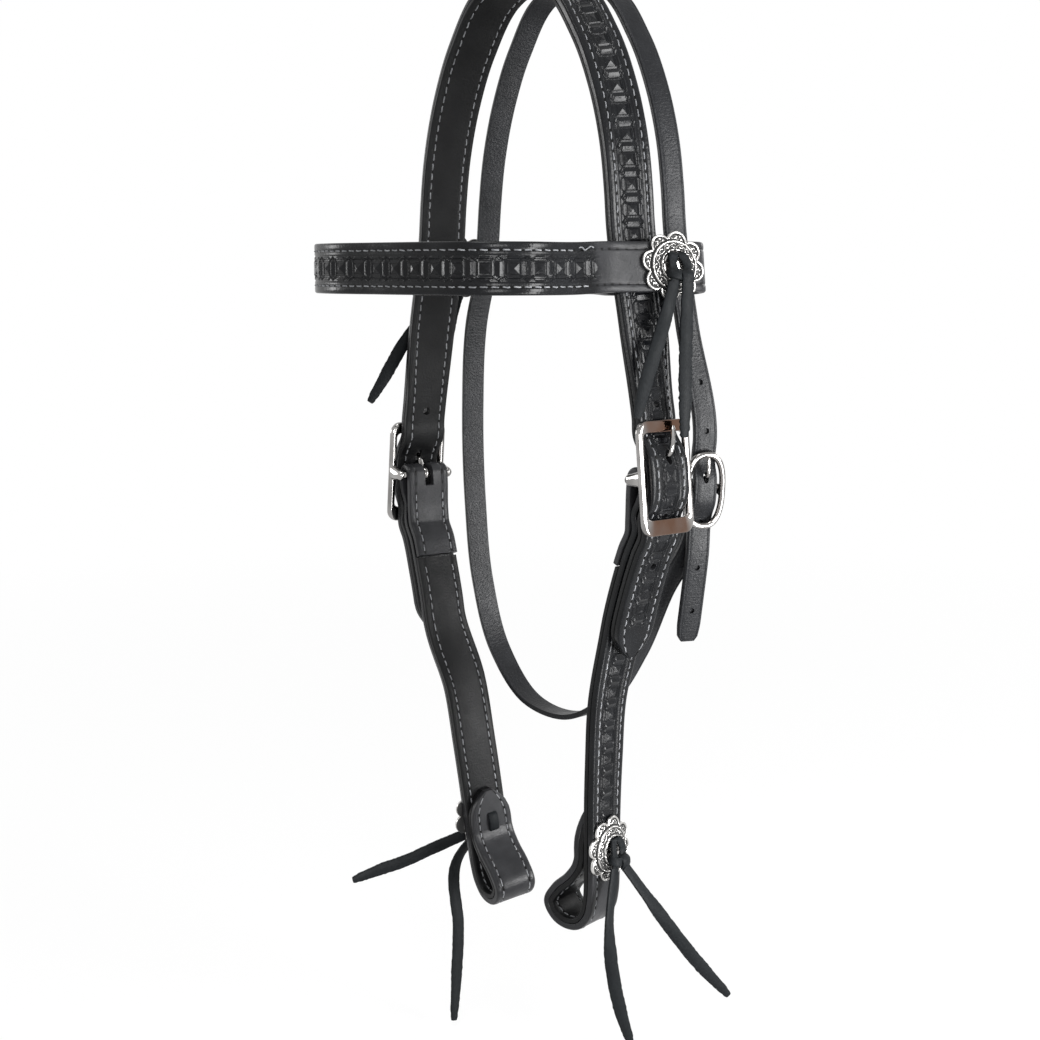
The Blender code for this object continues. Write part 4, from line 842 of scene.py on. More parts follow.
def cheek_run(half):
    bar = crown_run.nearest(half.buckle.at(0.0, 0.0, BILLET_BULGE))
    steps = np.array(leg_shares) * half.billet
    leg = crown_run.rows_beside(bar - half.side * steps, SHEET + FOLD_GAP)
    bit = half.bit
    loop = [bit.row(0.0, up * BIT_LOOP_DROP, out * BIT_LOOP_REACH) for out, up in bit_loop_shares]
    inner = [bit.row(0.0, share * BIT_TIP_RISE, -INNER_LEG) for share in (1.0, 0.5, 0.0, -0.3)]
    straight = []
    for out, down in cheek_run_shares[::-1]:
        spot = bit.at(0.0, (1 - down) * CHEEK_DROP, out * BIT_LOOP_REACH)
        turn = bit.degrees + (half.buckle.degrees - bit.degrees) * (1 - down)
        straight.append((*spot, *facing(turn)))
    tie = [bit.row(0.0, 0.0, 0.0)]
    rows = inner + loop + tie + straight + leg[::-1] + fold_rows(half.buckle, BAR_SEAM)
    leg_run = Run(rows, half.side)
    half.fold = leg_run.nearest(half.buckle.at(0.0, 0.0, BAR_SEAM))
    flap_marks = half.fold - np.array(flap_shares) * FLAP_LENGTH
    half.lining_end = float(flap_marks[-1] - 3 * CLEAR)
    flap = leg_run.rows_beside(flap_marks, FOLD_GAP)
    half.cheek = Run(rows + flap, half.side)
    half.tie = half.cheek.nearest(bit.at(0.0, 0.0, 0.0))
    half.loop_low = half.cheek.nearest(loop[5])


for half in halves:
    cheek_run(half)
    print(half.name, "cheekpiece", round(half.cheek.length * 1000), "mm")

# %% The browband's run
LOOP_MIDDLE = (LOOP_OUT - LOOP_IN) / 2
LOOP_RADIUS = (LOOP_OUT + LOOP_IN) / 2
TURN_IN = LOOP_END - LOOP_RADIUS


def brow_loop(seat):
    """Under the crown strap and the throat latch, round, and back over them."""
    rows = [seat.standing(share * STRAP_WIDTH, -LOOP_IN) for share in (-0.55, 0.0)]
    rows += [seat.standing(share * TURN_IN, -LOOP_IN) for share in (0.5, 0.85)]
    for step in range(7):
        angle = math.radians(30.0 * step)
        across = TURN_IN + LOOP_RADIUS * math.sin(angle)
        rows.append(seat.standing(across, LOOP_MIDDLE - LOOP_RADIUS * math.cos(angle)))
    rows += [seat.standing(share * TURN_IN, LOOP_OUT) for share in (0.85, 0.5)]
    return rows + [seat.standing(share * STRAP_WIDTH, LOOP_OUT) for share in (0.0, -0.55)]


brow_loops = {half.name: brow_loop(half.brow) for half in halves}
brow_front = [
    (out * BROW_HALF_WIDTH, -forward * BROW_DEPTH, -BROW_DROP, 0.0, 0.0, 1.0)
    for out, forward in brow_run_shares
]
outside = Run(brow_loops["near"] + brow_front + brow_loops["far"][::-1])
brow_ends = []
for half in halves:
    mark = outside.nearest(brow_loops[half.name][-1])
    marks = mark + half.side * np.array(loop_end_shares) * STRAP_WIDTH
    crossing = half.brow.standing(-0.80 * STRAP_WIDTH, -0.30 * LOOP_IN)
    brow_ends.append([*outside.rows_beside(marks, OUTER + CLEAR), crossing])
brow_run = Run(
    brow_ends[0] + brow_loops["near"] + brow_front + brow_loops["far"][::-1] + brow_ends[1][::-1]
)
brow_marks = [brow_run.nearest(brow_loops[half.name][-1]) for half in halves]
print("browband", round(brow_run.length * 1000), "mm, front", [round(m * 1000) for m in brow_marks])

# %% The throat latch's run
def throat_latch_run():
    billet = billet_rows(
        oval,
        OVAL_HALF_HEIGHT,
        OVAL_BULGE,
        OVAL_RAIL_LEVEL,
        THROAT_BILLET_BELOW,
        oval_bulge_shares,
        oval_hang_shares,
    )[::-1]
    sink = THROAT_LEATHER / 2 - POLL_SEAM
    near_side = [seat.row(THROAT_SET, 0.0, sink) for seat in near.arch_seats()][::-1]
    far_side = [seat.row(THROAT_SET, 0.0, sink) for seat in far.arch_seats()][:-1]
    wide = np.array(over_poll)
    centre = wide * THROAT_SET + np.array((0.0, 0.0, THROAT_LEATHER / 2))
    apex = [(*(centre + np.array((side * APEX_FLAT, 0.0, 0.0))), *wide) for side in (1, -1)]
    over = billet + near_side + apex + far_side
    round_throat = []
    for out, back, down in throat_run_shares:
        turned = far.turn * max(-out, 0.0) + oval.degrees * max(out, 0.0)
        place = (out * HALF_SPREAD, back * THROAT_BACK, -down * THROAT_DROP)
        round_throat.append((*place, *facing(turned)))
    over_run = Run(over)
    bar = over_run.nearest(oval.at(0.0, 0.0, OVAL_BULGE))
    leg_marks = bar - np.array((0.92, 0.62, 0.36)) * OVAL_HALF_HEIGHT * 1.25
    rows = over + round_throat + over_run.rows_beside(leg_marks, THROAT_LEATHER + OVAL_CLEAR)
    rows += fold_rows(oval, OVAL_FOLD)
    leg_run = Run(rows)
    top = leg_run.nearest(oval.at(0.0, 0.0, OVAL_FOLD))
    flap_marks = top - np.array((0.32, 0.54, 0.78, 1.0)) * THROAT_FLAP
    return Run(rows + leg_run.rows_beside(flap_marks, THROAT_LEATHER + CLEAR)), bar


throat_run, throat_bar = throat_latch_run()
print("throat latch", round(throat_run.length * 1000), "mm")

# %% [markdown]
# ## A strap's skin
# A leather is built as a skin round its run: the face is a grid of lines along the strap, the edges
# are rounded and burnished, and the back is flat where it is glued to the other leather. The lines
# of the grid stand on the features, the seams, the borders and the stamp, so a few points give
# crisp relief. Each corner keeps its distance along and across the strap as a UV map for the grain.

# %% Tip shapes and the skin
tip_shares = ((0.0, 0.20), (0.16, 0.48), (0.42, 0.76), (0.72, 0.95), (1.0, 1.0))
blunt_shares = ((0.0, 0.62), (0.25, 0.88), (1.0, 1.0))
CORNER_STEPS = 6
RIDGE_BEND = 0.00004
PRESS_FADE = 0.006
RAISED = 0.0002


def tip_width(marks, first, last, tips, shares):
    """The share of the full width that each station has."""
    table = np.array(shares)
    share = np.ones_like(marks)
    for tip, past in ((tips[0], marks - first), (tips[1], last - marks)):
        if tip:
            smooth = np.linspace(0.0, 1.0, 60)
            curve = np.interp(smooth, table[:, 0], table[:, 1])
            curve[1:-1] = np.convolve(curve, np.ones(9) / 9, "same")[1:-1]
            curve = np.maximum.accumulate(np.minimum(curve, 1.0))
            share = np.minimum(share, np.interp(past / tip, smooth, curve))
    return share


def faceted(quads, height):
    """Splits the quads that aren't flat, along the diagonal that follows a ridge."""
    level = height[quads]
    bend = np.abs(level[:, 0] + level[:, 2] - level[:, 1] - level[:, 3])
    along_first = np.abs(level[:, 0] - level[:, 2]) >= np.abs(level[:, 1] - level[:, 3])
    faces = quads[bend <= RIDGE_BEND].tolist()
    for chosen, corners in ((along_first, (0, 1, 2, 0, 2, 3)), (~along_first, (0, 1, 3, 1, 2, 3))):
        faces += quads[(bend > RIDGE_BEND) & chosen][:, corners].reshape(-1, 3).tolist()
    return faces


def skin_mesh(
    name, run, marks, lines, face, back, half, round_off,
    relief=None, tips=(0.0, 0.0), shares=tip_shares, stamped=None,
):
    """A leather between two heights over its run; the face shows and the back is glued."""
    up = 1.0 if face > back else -1.0
    spot, wide, out = run.frame(marks)
    share = tip_width(marks, marks[0], marks[-1], tips, shares)
    lines = np.array(lines)
    rise = np.zeros((len(marks), len(lines)))
    if relief is not None:
        rise = relief(marks[:, None] + 0 * lines[None], lines[None] + 0 * marks[:, None])
    across = [lines * 1.0]
    height = [face + 0 * lines]
    flat = half - round_off
    for step in range(1, CORNER_STEPS + 1):
        angle = math.pi / 2 * step / CORNER_STEPS
        across.append([flat + round_off * math.sin(angle)])
        height.append([face - up * round_off * (1 - math.cos(angle))])
    lower = 0.3 * round_off
    across.append([half, half - lower, -half + lower, -half])
    height.append([back + up * lower, back, back, back + up * lower])
    for step in range(CORNER_STEPS, 0, -1):
        angle = math.pi / 2 * step / CORNER_STEPS
        across.append([-flat - round_off * math.sin(angle)])
        height.append([face - up * round_off * (1 - math.cos(angle))])
    across = np.concatenate(across)
    height = np.concatenate(height)
    lifted = np.tile(height, (len(marks), 1))
    lifted[:, : len(lines)] += up * rise
    scaled = across[None] * share[:, None]
    places = spot[:, None] + wide[:, None] * scaled[..., None] + out[:, None] * lifted[..., None]
    count = len(across)
    rings = np.arange(len(marks) * count).reshape(len(marks), count)
    following = np.roll(rings, -1, axis=1)
    quads = np.stack([rings[:-1], rings[1:], following[1:], following[:-1]], axis=-1).reshape(-1, 4)
    mesh = bpy.data.meshes.new(name)
    faces = faceted(quads, lifted.ravel()) + [rings[0].tolist(), rings[-1][::-1].tolist()]
    mesh.from_pydata(places.reshape(-1, 3).tolist(), [], faces)
    round_section = np.concatenate([[0.0], np.cumsum(np.hypot(np.diff(across), np.diff(height)))])
    round_section += across[0]
    low, high = stamped or (marks[0] - PRESS_FADE, marks[-1] + PRESS_FADE)
    pressed = np.minimum(np.clip((marks - low) / PRESS_FADE, 0, 1), np.clip((high - marks) / PRESS_FADE, 0, 1))
    mark = mesh.attributes.new("stamped", "FLOAT", "POINT")
    mark.data.foreach_set("value", np.repeat(pressed, count).astype(np.float32))
    high_places = np.zeros((len(marks), count))
    high_places[:, : len(lines)] = np.clip(rise / RAISED, 0.0, 1.0)
    mark = mesh.attributes.new("raised", "FLOAT", "POINT")
    mark.data.foreach_set("value", high_places.astype(np.float32).ravel())
    layer = mesh.uv_layers.new(name="strap")
    corners = np.zeros(len(mesh.loops), np.int32)
    mesh.loops.foreach_get("vertex_index", corners)
    flat_map = np.stack([np.repeat(marks, count), np.tile(round_section, len(marks))], axis=1)
    flat_map[:, 1] = np.where(np.tile(np.arange(count), len(marks)) < len(lines), np.tile(across, len(marks)), flat_map[:, 1])
    layer.uv.foreach_set("vector", flat_map[corners].astype(np.float32).ravel())
    return settle(mesh, 17.0)


print("skin helper ready")

# %% [markdown]
# ## The stamp
# The face of the tooled straps is pressed with one repeated border stamp: a small pyramid in a
# square frame, then a long hexagon across the strap, then a pyramid again. Paired raised lines run
# along both sides and break towards the hexagons' points, so the frames link up like a chain. The
# pressed ground lies lower than the border that carries the seam. Heights are in metres.

# %% Relief of the seams and the stamp
EDGE_ROUND = 0.0011
STAMP_PITCH = 0.0124
GROUND = 0.00034
LINE_RISE = 0.00046
pitch_shares = (0.0, 0.081, 0.161, 0.202, 0.238, 0.274, 0.315, 0.375, 0.435, 0.5)
side_lines = (
    0.0, 0.0010, 0.0020, 0.0025, 0.00295, 0.0034, 0.0039, 0.0044, 0.0048, 0.0052, 0.0057,
    0.0062, 0.0067, 0.0070, 0.0073, 0.0079, 0.0083, 0.0087, 0.0091, 0.0097, 0.0108, 0.0116,
)
tooled_lines = sorted({side * line for side in (-1, 1) for line in side_lines})
plain_side = (0.0, 0.0035, 0.0070, 0.0079, 0.0083, 0.0087, 0.0091, 0.0097, 0.0108, 0.0116)
plain_lines = sorted({side * line for side in (-1, 1) for line in plain_side})


def ridge(distance, half, soft):
    """One on a line, falling to nothing beside it."""
    return np.clip((half + soft - distance) / soft, 0.0, 1.0)


def to_segment(x, y, start, end):
    """Distance from points to a short straight line."""
    along = np.array(end) - np.array(start)
    share = ((x - start[0]) * along[0] + (y - start[1]) * along[1]) / (along**2).sum()
    share = np.clip(share, 0.0, 1.0)
    return np.hypot(x - start[0] - share * along[0], y - start[1] - share * along[1])


def stamp(along, across, pitch):
    """Height of the stamp over its pressed ground."""
    cell = np.abs(((along / pitch + 0.5) % 1.0) - 0.5) * STAMP_PITCH
    side = np.abs(across)
    square = np.maximum(cell, side)
    pyramid = 0.00098 * np.clip(1 - square / 0.0027, 0.0, 1.0)
    frame_line = LINE_RISE * ridge(np.abs(square - 0.00300), 0.00022, 0.00030)
    link = to_segment(cell, side, (0.0030, 0.0033), (STAMP_PITCH / 2, 0.0056))
    link_line = LINE_RISE * ridge(link, 0.00022, 0.00032)
    bar = ridge(np.abs(side - 0.0052), 0.00040, 0.00030)
    bar = bar * np.clip((0.0031 - cell - 1.2 * (side - 0.0052)) / 0.0003, 0.0, 1.0)
    past = STAMP_PITCH / 2 - cell
    point = np.clip((0.0045 - 0.55 * past - side) / 0.0013, 0.0, 1.0)
    hexagon = 0.00085 * np.minimum(np.clip(1 - past / 0.0019, 0.0, 1.0), point)
    rim = LINE_RISE * 0.7 * ridge(np.abs(side - 0.0070), 0.00018, 0.00028)
    return np.maximum.reduce([pyramid, frame_line, link_line, LINE_RISE * bar, hexagon, rim])


def seam_groove(across):
    """The channel that the stitches lie in, and the soft crown of the border beside it."""
    aside = np.abs(np.abs(across) - SEAM_ACROSS)
    groove = -0.00030 * np.exp(-((aside / 0.00042) ** 2))
    edge = 0.00012 * np.exp(-(((np.abs(across) - 0.0104) / 0.0010) ** 2))
    return groove + edge


def tooled_relief(first, last, pitch, origin, soft=0.004):
    """Relief of a face that is stamped between two distances along it."""

    def relief(along, across):
        window = np.clip((along - first) / soft, 0.0, 1.0) * np.clip((last - along) / soft, 0.0, 1.0)
        pressed = np.clip((0.0074 - np.abs(across)) / 0.0004, 0.0, 1.0) * window
        stamped = stamp(along - origin, across, pitch) - GROUND
        return seam_groove(across) + pressed * stamped

    return relief


def plain_relief(along, across):
    return seam_groove(across)


def stamped_marks(run, first, last, zones, pitch, origin, step=0.0030, turn=7.0):
    """Stations of a strap: on the stamp's own lines in its zones, and by the bend elsewhere."""
    found = [run.marks(first, last, step, turn)]
    for low, high in zones:
        found[0] = found[0][(found[0] < low) | (found[0] > high)]
        cells = np.arange(math.floor((low - origin) / pitch) - 1, math.ceil((high - origin) / pitch) + 2)
        shares = np.array(sorted({side * share for side in (-1, 1) for share in pitch_shares}))[:-1]
        lines = (origin + (cells[:, None] + shares[None]) * pitch).ravel()
        found.append(lines[(lines >= low) & (lines <= high)])
    marks = np.unique(np.concatenate([[first, last], *found]))
    keep = np.concatenate([[True], np.diff(marks) > 0.00012])
    marks = marks[keep]
    marks[-1] = last
    return marks


print("stamp pitch", STAMP_PITCH * 1000, "mm")

# %% [markdown]
# ## Punched holes
# A billet's holes are punched through both leathers, and the fold of a cheekpiece has a slot for
# the buckle's tongue. Oval and box cutters are taken away with Booleans, and the result is kept as
# plain mesh, so nothing is left to work out later.

# %% Cutters
def cut(target, matrices, shape, narrow=1.0):
    """Takes shapes away from a piece: each is a matrix and three half sizes.

    Narrow is how far a punched hole closes up at the back of the leather.
    """
    bm = bmesh.new()
    for matrix, sizes in matrices:
        place = matrix @ Matrix.Diagonal((*sizes, 1.0))
        if shape == "oval":
            bmesh.ops.create_cone(
                bm, cap_ends=True, segments=24, radius1=narrow, radius2=1.0, depth=2.0, matrix=place
            )
        else:
            bmesh.ops.create_cube(bm, size=2.0, matrix=place)
    tool_mesh = bpy.data.meshes.new("cutter")
    bm.to_mesh(tool_mesh)
    bm.free()
    tool = bpy.data.objects.new("cutter", tool_mesh)
    bpy.context.scene.collection.objects.link(tool)
    tool.hide_render = True
    step = target.modifiers.new("cut", "BOOLEAN")
    step.operation = "DIFFERENCE"
    step.solver = "EXACT"
    step.object = tool
    graph = bpy.context.evaluated_depsgraph_get()
    kept = bpy.data.meshes.new_from_object(target.evaluated_get(graph))
    target.modifiers.clear()
    old = target.data
    target.data = kept
    bpy.data.objects.remove(tool, do_unlink=True)
    bpy.data.meshes.remove(tool_mesh)
    bpy.data.meshes.remove(old)
    return target


BILLET_HOLE = 0.0022
BILLET_SLOT = 0.0046
PUNCH_REACH = 0.0090
billet_punches = []
for half in halves:
    bar = crown_run.nearest(half.buckle.at(0.0, 0.0, BILLET_BULGE))
    tongue = bar + half.side * 0.325 * BUCKLE_HALF_HEIGHT
    billet_punches.append((crown_run.matrix(tongue), (BILLET_HOLE, BILLET_SLOT, PUNCH_REACH)))
    for step in (1, -1, -2):
        place = crown_run.matrix(tongue + half.side * step * BILLET_PITCH)
        billet_punches.append((place, (BILLET_HOLE, BILLET_HOLE, PUNCH_REACH)))
print(len(billet_punches), "billet holes")

# %% [markdown]
# ## Crown strap
# A doubled strap: the tooled leather outside, a plain lining inside, sewn along both edges. Its two
# punched ends, the billets, pass through the cheek buckles and hang as pointed ends.

# %% Make the crown strap and its lining
CROWN_ORIGIN = crown_run.nearest((0.0, 0.0, POLL_SEAM))
zone = (0.016, crown_run.length - 0.016)
crown_marks = stamped_marks(crown_run, 0.0, crown_run.length, [zone], STAMP_PITCH, CROWN_ORIGIN)
tips = (TIP_LENGTH, TIP_LENGTH)
mesh = skin_mesh(
    "crown_strap_tooled",
    crown_run,
    crown_marks,
    tooled_lines,
    SEAM_TO_FACE,
    SEAM / 2,
    HALF_WIDTH,
    EDGE_ROUND,
    tooled_relief(*zone, STAMP_PITCH, CROWN_ORIGIN),
    tips,
)
crown_strap = piece("crown_strap_tooled", mesh, "crown", tooled_leather, "black_leather", "crown_strap")
cut(crown_strap, billet_punches, "oval", 0.6)
mesh = skin_mesh(
    "crown_strap_lining",
    crown_run,
    crown_run.marks(0.0, crown_run.length, 0.0030, 7.0),
    plain_lines,
    -SEAM / 2 - LINING,
    -SEAM / 2,
    HALF_WIDTH,
    0.0008,
    plain_relief,
    tips,
)
crown_inside = piece("crown_strap_lining", mesh, "crown", lining_leather, "lining_leather", "crown_lining")
cut(crown_inside, billet_punches, "oval")
print("crown strap", len(crown_strap.data.polygons), "faces, lining", len(crown_inside.data.polygons))

# %% [markdown]
# ## Browband
# One tooled strap whose two ends turn back into loops round the crown strap and the throat latch.
# The stamp stops short of the loops, where the leather is plain, and the lining ends there too.

# %% Make the browband
BROW_PITCH = 0.0132
BROW_ORIGIN = (brow_marks[0] + brow_marks[1]) / 2
zone = (brow_marks[0] + 0.012, brow_marks[1] - 0.012)
marks = stamped_marks(brow_run, 0.0, brow_run.length, [zone], BROW_PITCH, BROW_ORIGIN)
mesh = skin_mesh(
    "browband_tooled",
    brow_run,
    marks,
    tooled_lines,
    OUTER / 2,
    -OUTER / 2,
    HALF_WIDTH,
    EDGE_ROUND,
    tooled_relief(*zone, BROW_PITCH, BROW_ORIGIN),
    stamped=zone,
)
browband = piece("browband_tooled", mesh, "crown", tooled_leather, "black_leather", "browband")
past = loop_end_shares[0] * STRAP_WIDTH + 4 * CLEAR
lining_ends = (brow_marks[0] + past, brow_marks[1] - past)
mesh = skin_mesh(
    "browband_inside",
    brow_run,
    brow_run.marks(*lining_ends, 0.0030, 7.0),
    plain_lines,
    -OUTER / 2 - SEAM - LINING,
    -OUTER / 2 - SEAM,
    HALF_WIDTH,
    0.0008,
    plain_relief,
)
brow_lining = piece("browband_inside", mesh, "crown", lining_leather, "lining_leather", "browband_lining")
print("browband", len(browband.data.polygons), "faces")

# %% [markdown]
# ## Cheekpieces
# Each cheekpiece is sewn from a tooled leather and a lining. The pointed lower end turns up inside
# to make the bit loop, and the upper end folds round the buckle's centre bar. The stamp runs down
# the outer leg and stops above the concho; the loop, the fold and the flap stay plain.

# %% Make the cheekpieces
SLOT_SIZES = (0.0027, 0.0070, 0.0110)
SLOT_LIFT = 0.0016
for half in halves:
    run = half.cheek
    zone = (half.tie + 0.006, half.fold - 0.010)
    origin = half.tie
    marks = stamped_marks(run, 0.0, run.length, [zone], STAMP_PITCH, origin, 0.0026, 6.0)
    mesh = skin_mesh(
        half.name + "_cheek_tooled",
        run,
        marks,
        tooled_lines,
        SEAM_TO_FACE,
        SEAM / 2,
        HALF_WIDTH,
        EDGE_ROUND,
        tooled_relief(*zone, STAMP_PITCH, origin),
        (TIP_LENGTH, 0.0),
        stamped=zone,
    )
    body = half.name + "_cheek"
    node = half.name + "_cheekpiece"
    half.leather = piece(half.name + "_cheek_tooled", mesh, body, tooled_leather, "black_leather", node)
    slot = half.buckle.matrix() @ Matrix.Translation((0.0, SLOT_LIFT, 0.0))
    cut(half.leather, [(slot, SLOT_SIZES)], "box")
    mesh = skin_mesh(
        half.name + "_cheek_inside",
        run,
        run.marks(0.0, half.lining_end, 0.0026, 6.0),
        plain_lines,
        -SEAM / 2 - LINING,
        -SEAM / 2,
        HALF_WIDTH,
        0.0008,
        plain_relief,
        (TIP_LENGTH, 0.0),
    )
    node = half.name + "_cheek_lining"
    piece(half.name + "_cheek_inside", mesh, body, lining_leather, "lining_leather", node)
    print(half.name, "cheekpiece", len(half.leather.data.polygons), "faces")

# %% [markdown]
# ## Throat latch
# A single narrow strap, plain on both sides, with a punched billet through the oval buckle and a
# turned-back end round its centre bar. Only its edges are rounded, with a faint line beside them.

# %% Make the throat latch
THROAT_HALF = THROAT_WIDTH / 2


def creased(along, across):
    """A faint line pressed beside each edge."""
    return -0.00016 * np.exp(-(((np.abs(across) - 0.0047) / 0.0003) ** 2))


throat_side = (0.0, 0.0020, 0.0041, 0.0044, 0.0047, 0.0050, 0.0053)
throat_lines = sorted({side * line for side in (-1, 1) for line in throat_side})
mesh = skin_mesh(
    "throat_latch_strap",
    throat_run,
    throat_run.marks(0.0, throat_run.length, 0.0026, 6.0),
    throat_lines,
    THROAT_LEATHER / 2,
    -THROAT_LEATHER / 2,
    THROAT_HALF,
    0.0010,
    creased,
    (THROAT_TIP, 0.0),
    blunt_shares,
)
throat_latch = piece("throat_latch_strap", mesh, "crown", plain_leather, "black_leather", "throat_latch")
tongue = throat_bar + 0.325 * OVAL_HALF_HEIGHT
cut(throat_latch, [(throat_run.matrix(tongue), (0.0016, 0.0032, 0.0019))], "oval", 0.7)
punches = []
for step in (2, 1, -1, -2, -3):
    for height in (-0.00105, 0.00105):
        place = throat_run.matrix(tongue + step * THROAT_PITCH, height)
        punches.append((place, (0.0016, 0.0016, 0.00095)))
cut(throat_latch, punches, "oval")
cut(throat_latch, [(oval.matrix(0.0, -0.0023), (0.0021, 0.0048, 0.0071))], "box")
print("throat latch", len(throat_latch.data.polygons), "faces")

# %% [markdown]
# ## Seams
# The leathers are lockstitched with waxed thread, about five stitches to the inch. A stitch shows
# as a short plump dash whose ends dive into the needle holes. Each one is a small bent tube of real
# thread, set at true distances along the run, on the face and again on the lining behind it.

# %% Stitches
THREAD = 0.00037
STITCH_SHARE = 0.70
DIVE = 0.00052
ring_shares = (-0.5, -0.40, -0.18, 0.18, 0.40, 0.5)
ring_lifts = (-1.0, -0.30, 0.0, 0.0, -0.30, -1.0)
ROUND = 6


def seam_mesh(name, rows):
    """Stitches along rows: (run, first, last, height, up, across, tips) each."""
    places, faces, count = [], [], 0
    draws = np.random.default_rng(5)
    for run, first, last, height, up, across, tips in rows:
        centres = np.arange(math.ceil(first / STITCH_PITCH), math.floor(last / STITCH_PITCH) + 1)
        centres = centres * STITCH_PITCH
        if not len(centres):
            continue
        offsets = np.array(ring_shares) * STITCH_PITCH * STITCH_SHARE
        marks = np.clip(centres[:, None] + offsets[None], 0.0, run.length)
        spot, wide, out = (part.reshape(*marks.shape, 3) for part in run.frame(marks.ravel()))
        share = tip_width(marks.ravel(), 0.0, run.length, tips, tip_shares).reshape(marks.shape)
        slant = draws.normal(0.0, 0.00007, marks.shape) + np.array(ring_shares)[None] * 0.0002
        aside = across * share + slant
        lift = height + up * np.array(ring_lifts)[None] * DIVE
        middle = spot + wide * aside[..., None] + out * lift[..., None]
        angles = np.arange(ROUND) / ROUND * 2 * math.pi
        ring = (
            middle[:, :, None]
            + wide[:, :, None] * (THREAD * np.cos(angles))[None, None, :, None]
            + out[:, :, None] * (THREAD * np.sin(angles))[None, None, :, None]
        )
        stitches, rings = marks.shape
        index = count + np.arange(stitches * rings * ROUND).reshape(stitches, rings, ROUND)
        turned = np.roll(index, -1, axis=2)
        quads = np.stack([index[:, :-1], index[:, 1:], turned[:, 1:], turned[:, :-1]], axis=-1)
        faces += quads.reshape(-1, 4).tolist()
        faces += index[:, 0].tolist() + index[:, -1, ::-1].tolist()
        places.append(ring.reshape(-1, 3))
        count += stitches * rings * ROUND
    mesh = bpy.data.meshes.new(name)
    mesh.from_pydata(np.concatenate(places).tolist(), [], faces)
    return settle(mesh, 80.0)


def both_rows(run, first, last, height, up, tips=(0.0, 0.0)):
    return [(run, first, last, height, up, side * SEAM_ACROSS, tips) for side in (1, -1)]


lining_face = -SEAM / 2 - LINING
rows = both_rows(crown_run, 0.005, crown_run.length - 0.005, SEAM_TO_FACE, 1.0, (TIP_LENGTH, TIP_LENGTH))
rows += both_rows(crown_run, 0.005, crown_run.length - 0.005, lining_face, -1.0, (TIP_LENGTH, TIP_LENGTH))
rows += [
    (brow_run, lining_ends[0] - past, lining_ends[1], OUTER / 2, 1.0, across, (0.0, 0.0))
    for past, across in ((-0.0035, SEAM_ACROSS), (0.0075, -SEAM_ACROSS))
]
rows += both_rows(brow_run, *lining_ends, -OUTER / 2 - SEAM - LINING, -1.0)
loose_end = ((0.0, 0.0), (0.0022, 0.0006), (0.0048, -0.0003), (0.0070, -0.0010), (0.0092, 0.0004), (0.0112, 0.0002))
loose_start = lining_ends[0] - 0.0088
loose_rows = []
for past, aside in loose_end:
    spot, wide, out = (found[0] for found in brow_run.frame(loose_start + past))
    lift = OUTER / 2 + THREAD
    loose_rows.append((*(spot + wide * (SEAM_ACROSS + 0.0010 + aside) + out * lift), *wide))
loose_run = Run(loose_rows)
loose_marks = np.linspace(0.0, loose_run.length, 40)
loose = ribbon_mesh("loose", loose_run, loose_marks, np.full(40, THREAD), 2 * THREAD, 5, 1.0)
mesh = joined("crown_and_browband_seams", [seam_mesh("seams", rows), loose])
piece("crown_and_browband_seams", mesh, "crown", waxed_thread, "black_leather")
print("crown and browband seams", len(mesh.polygons), "faces")

# %% Seams of the cheekpieces
for half in halves:
    run = half.cheek
    top = half.fold - 0.012
    rows = both_rows(run, 0.005, top, SEAM_TO_FACE, 1.0, (TIP_LENGTH, 0.0))
    rows += both_rows(run, 0.005, half.lining_end - 0.003, lining_face, -1.0, (TIP_LENGTH, 0.0))
    rows += both_rows(run, half.fold + 0.018, run.length - 0.004, SEAM_TO_FACE, 1.0)
    mesh = seam_mesh(half.name + "_cheek_seams", rows)
    piece(half.name + "_cheek_seams", mesh, half.name + "_cheek", waxed_thread, "black_leather")
    print(half.name, "cheek seams", len(mesh.polygons), "faces")

# %% [markdown]
# ## Conchos
# A concho is a struck silver disc with eight petals, a raised rim, a ring and a domed middle, cut
# with scrolls that hold dark paste. It is a polar grid: each point's height comes from a turned
# profile, drawn in between the petals, less the depth of the nearest cut line. The same depth is
# kept as a number on each point, which the silver's colour reads.

# %% The engraving, in one petal's own millimetres
CONCHO_RADIUS = 0.0176
CONCHO_CROWN = 0.0042
PETALS = 8
LACE_SPREAD = 0.0052
LACE_WIDTH = 0.0060
LACE_LEATHER = 0.0018
SLIT_ROOM = 0.0005


def spiral(centre, start, turns, reach, end_reach, count=26):
    """A scroll line that winds round its centre; negative turns wind the other way."""
    share = np.linspace(0.0, 1.0, count)
    angle = start + 2 * math.pi * turns * share
    radius = reach + (end_reach - reach) * share
    return np.stack([centre[0] + radius * np.cos(angle), centre[1] + radius * np.sin(angle)], axis=1)


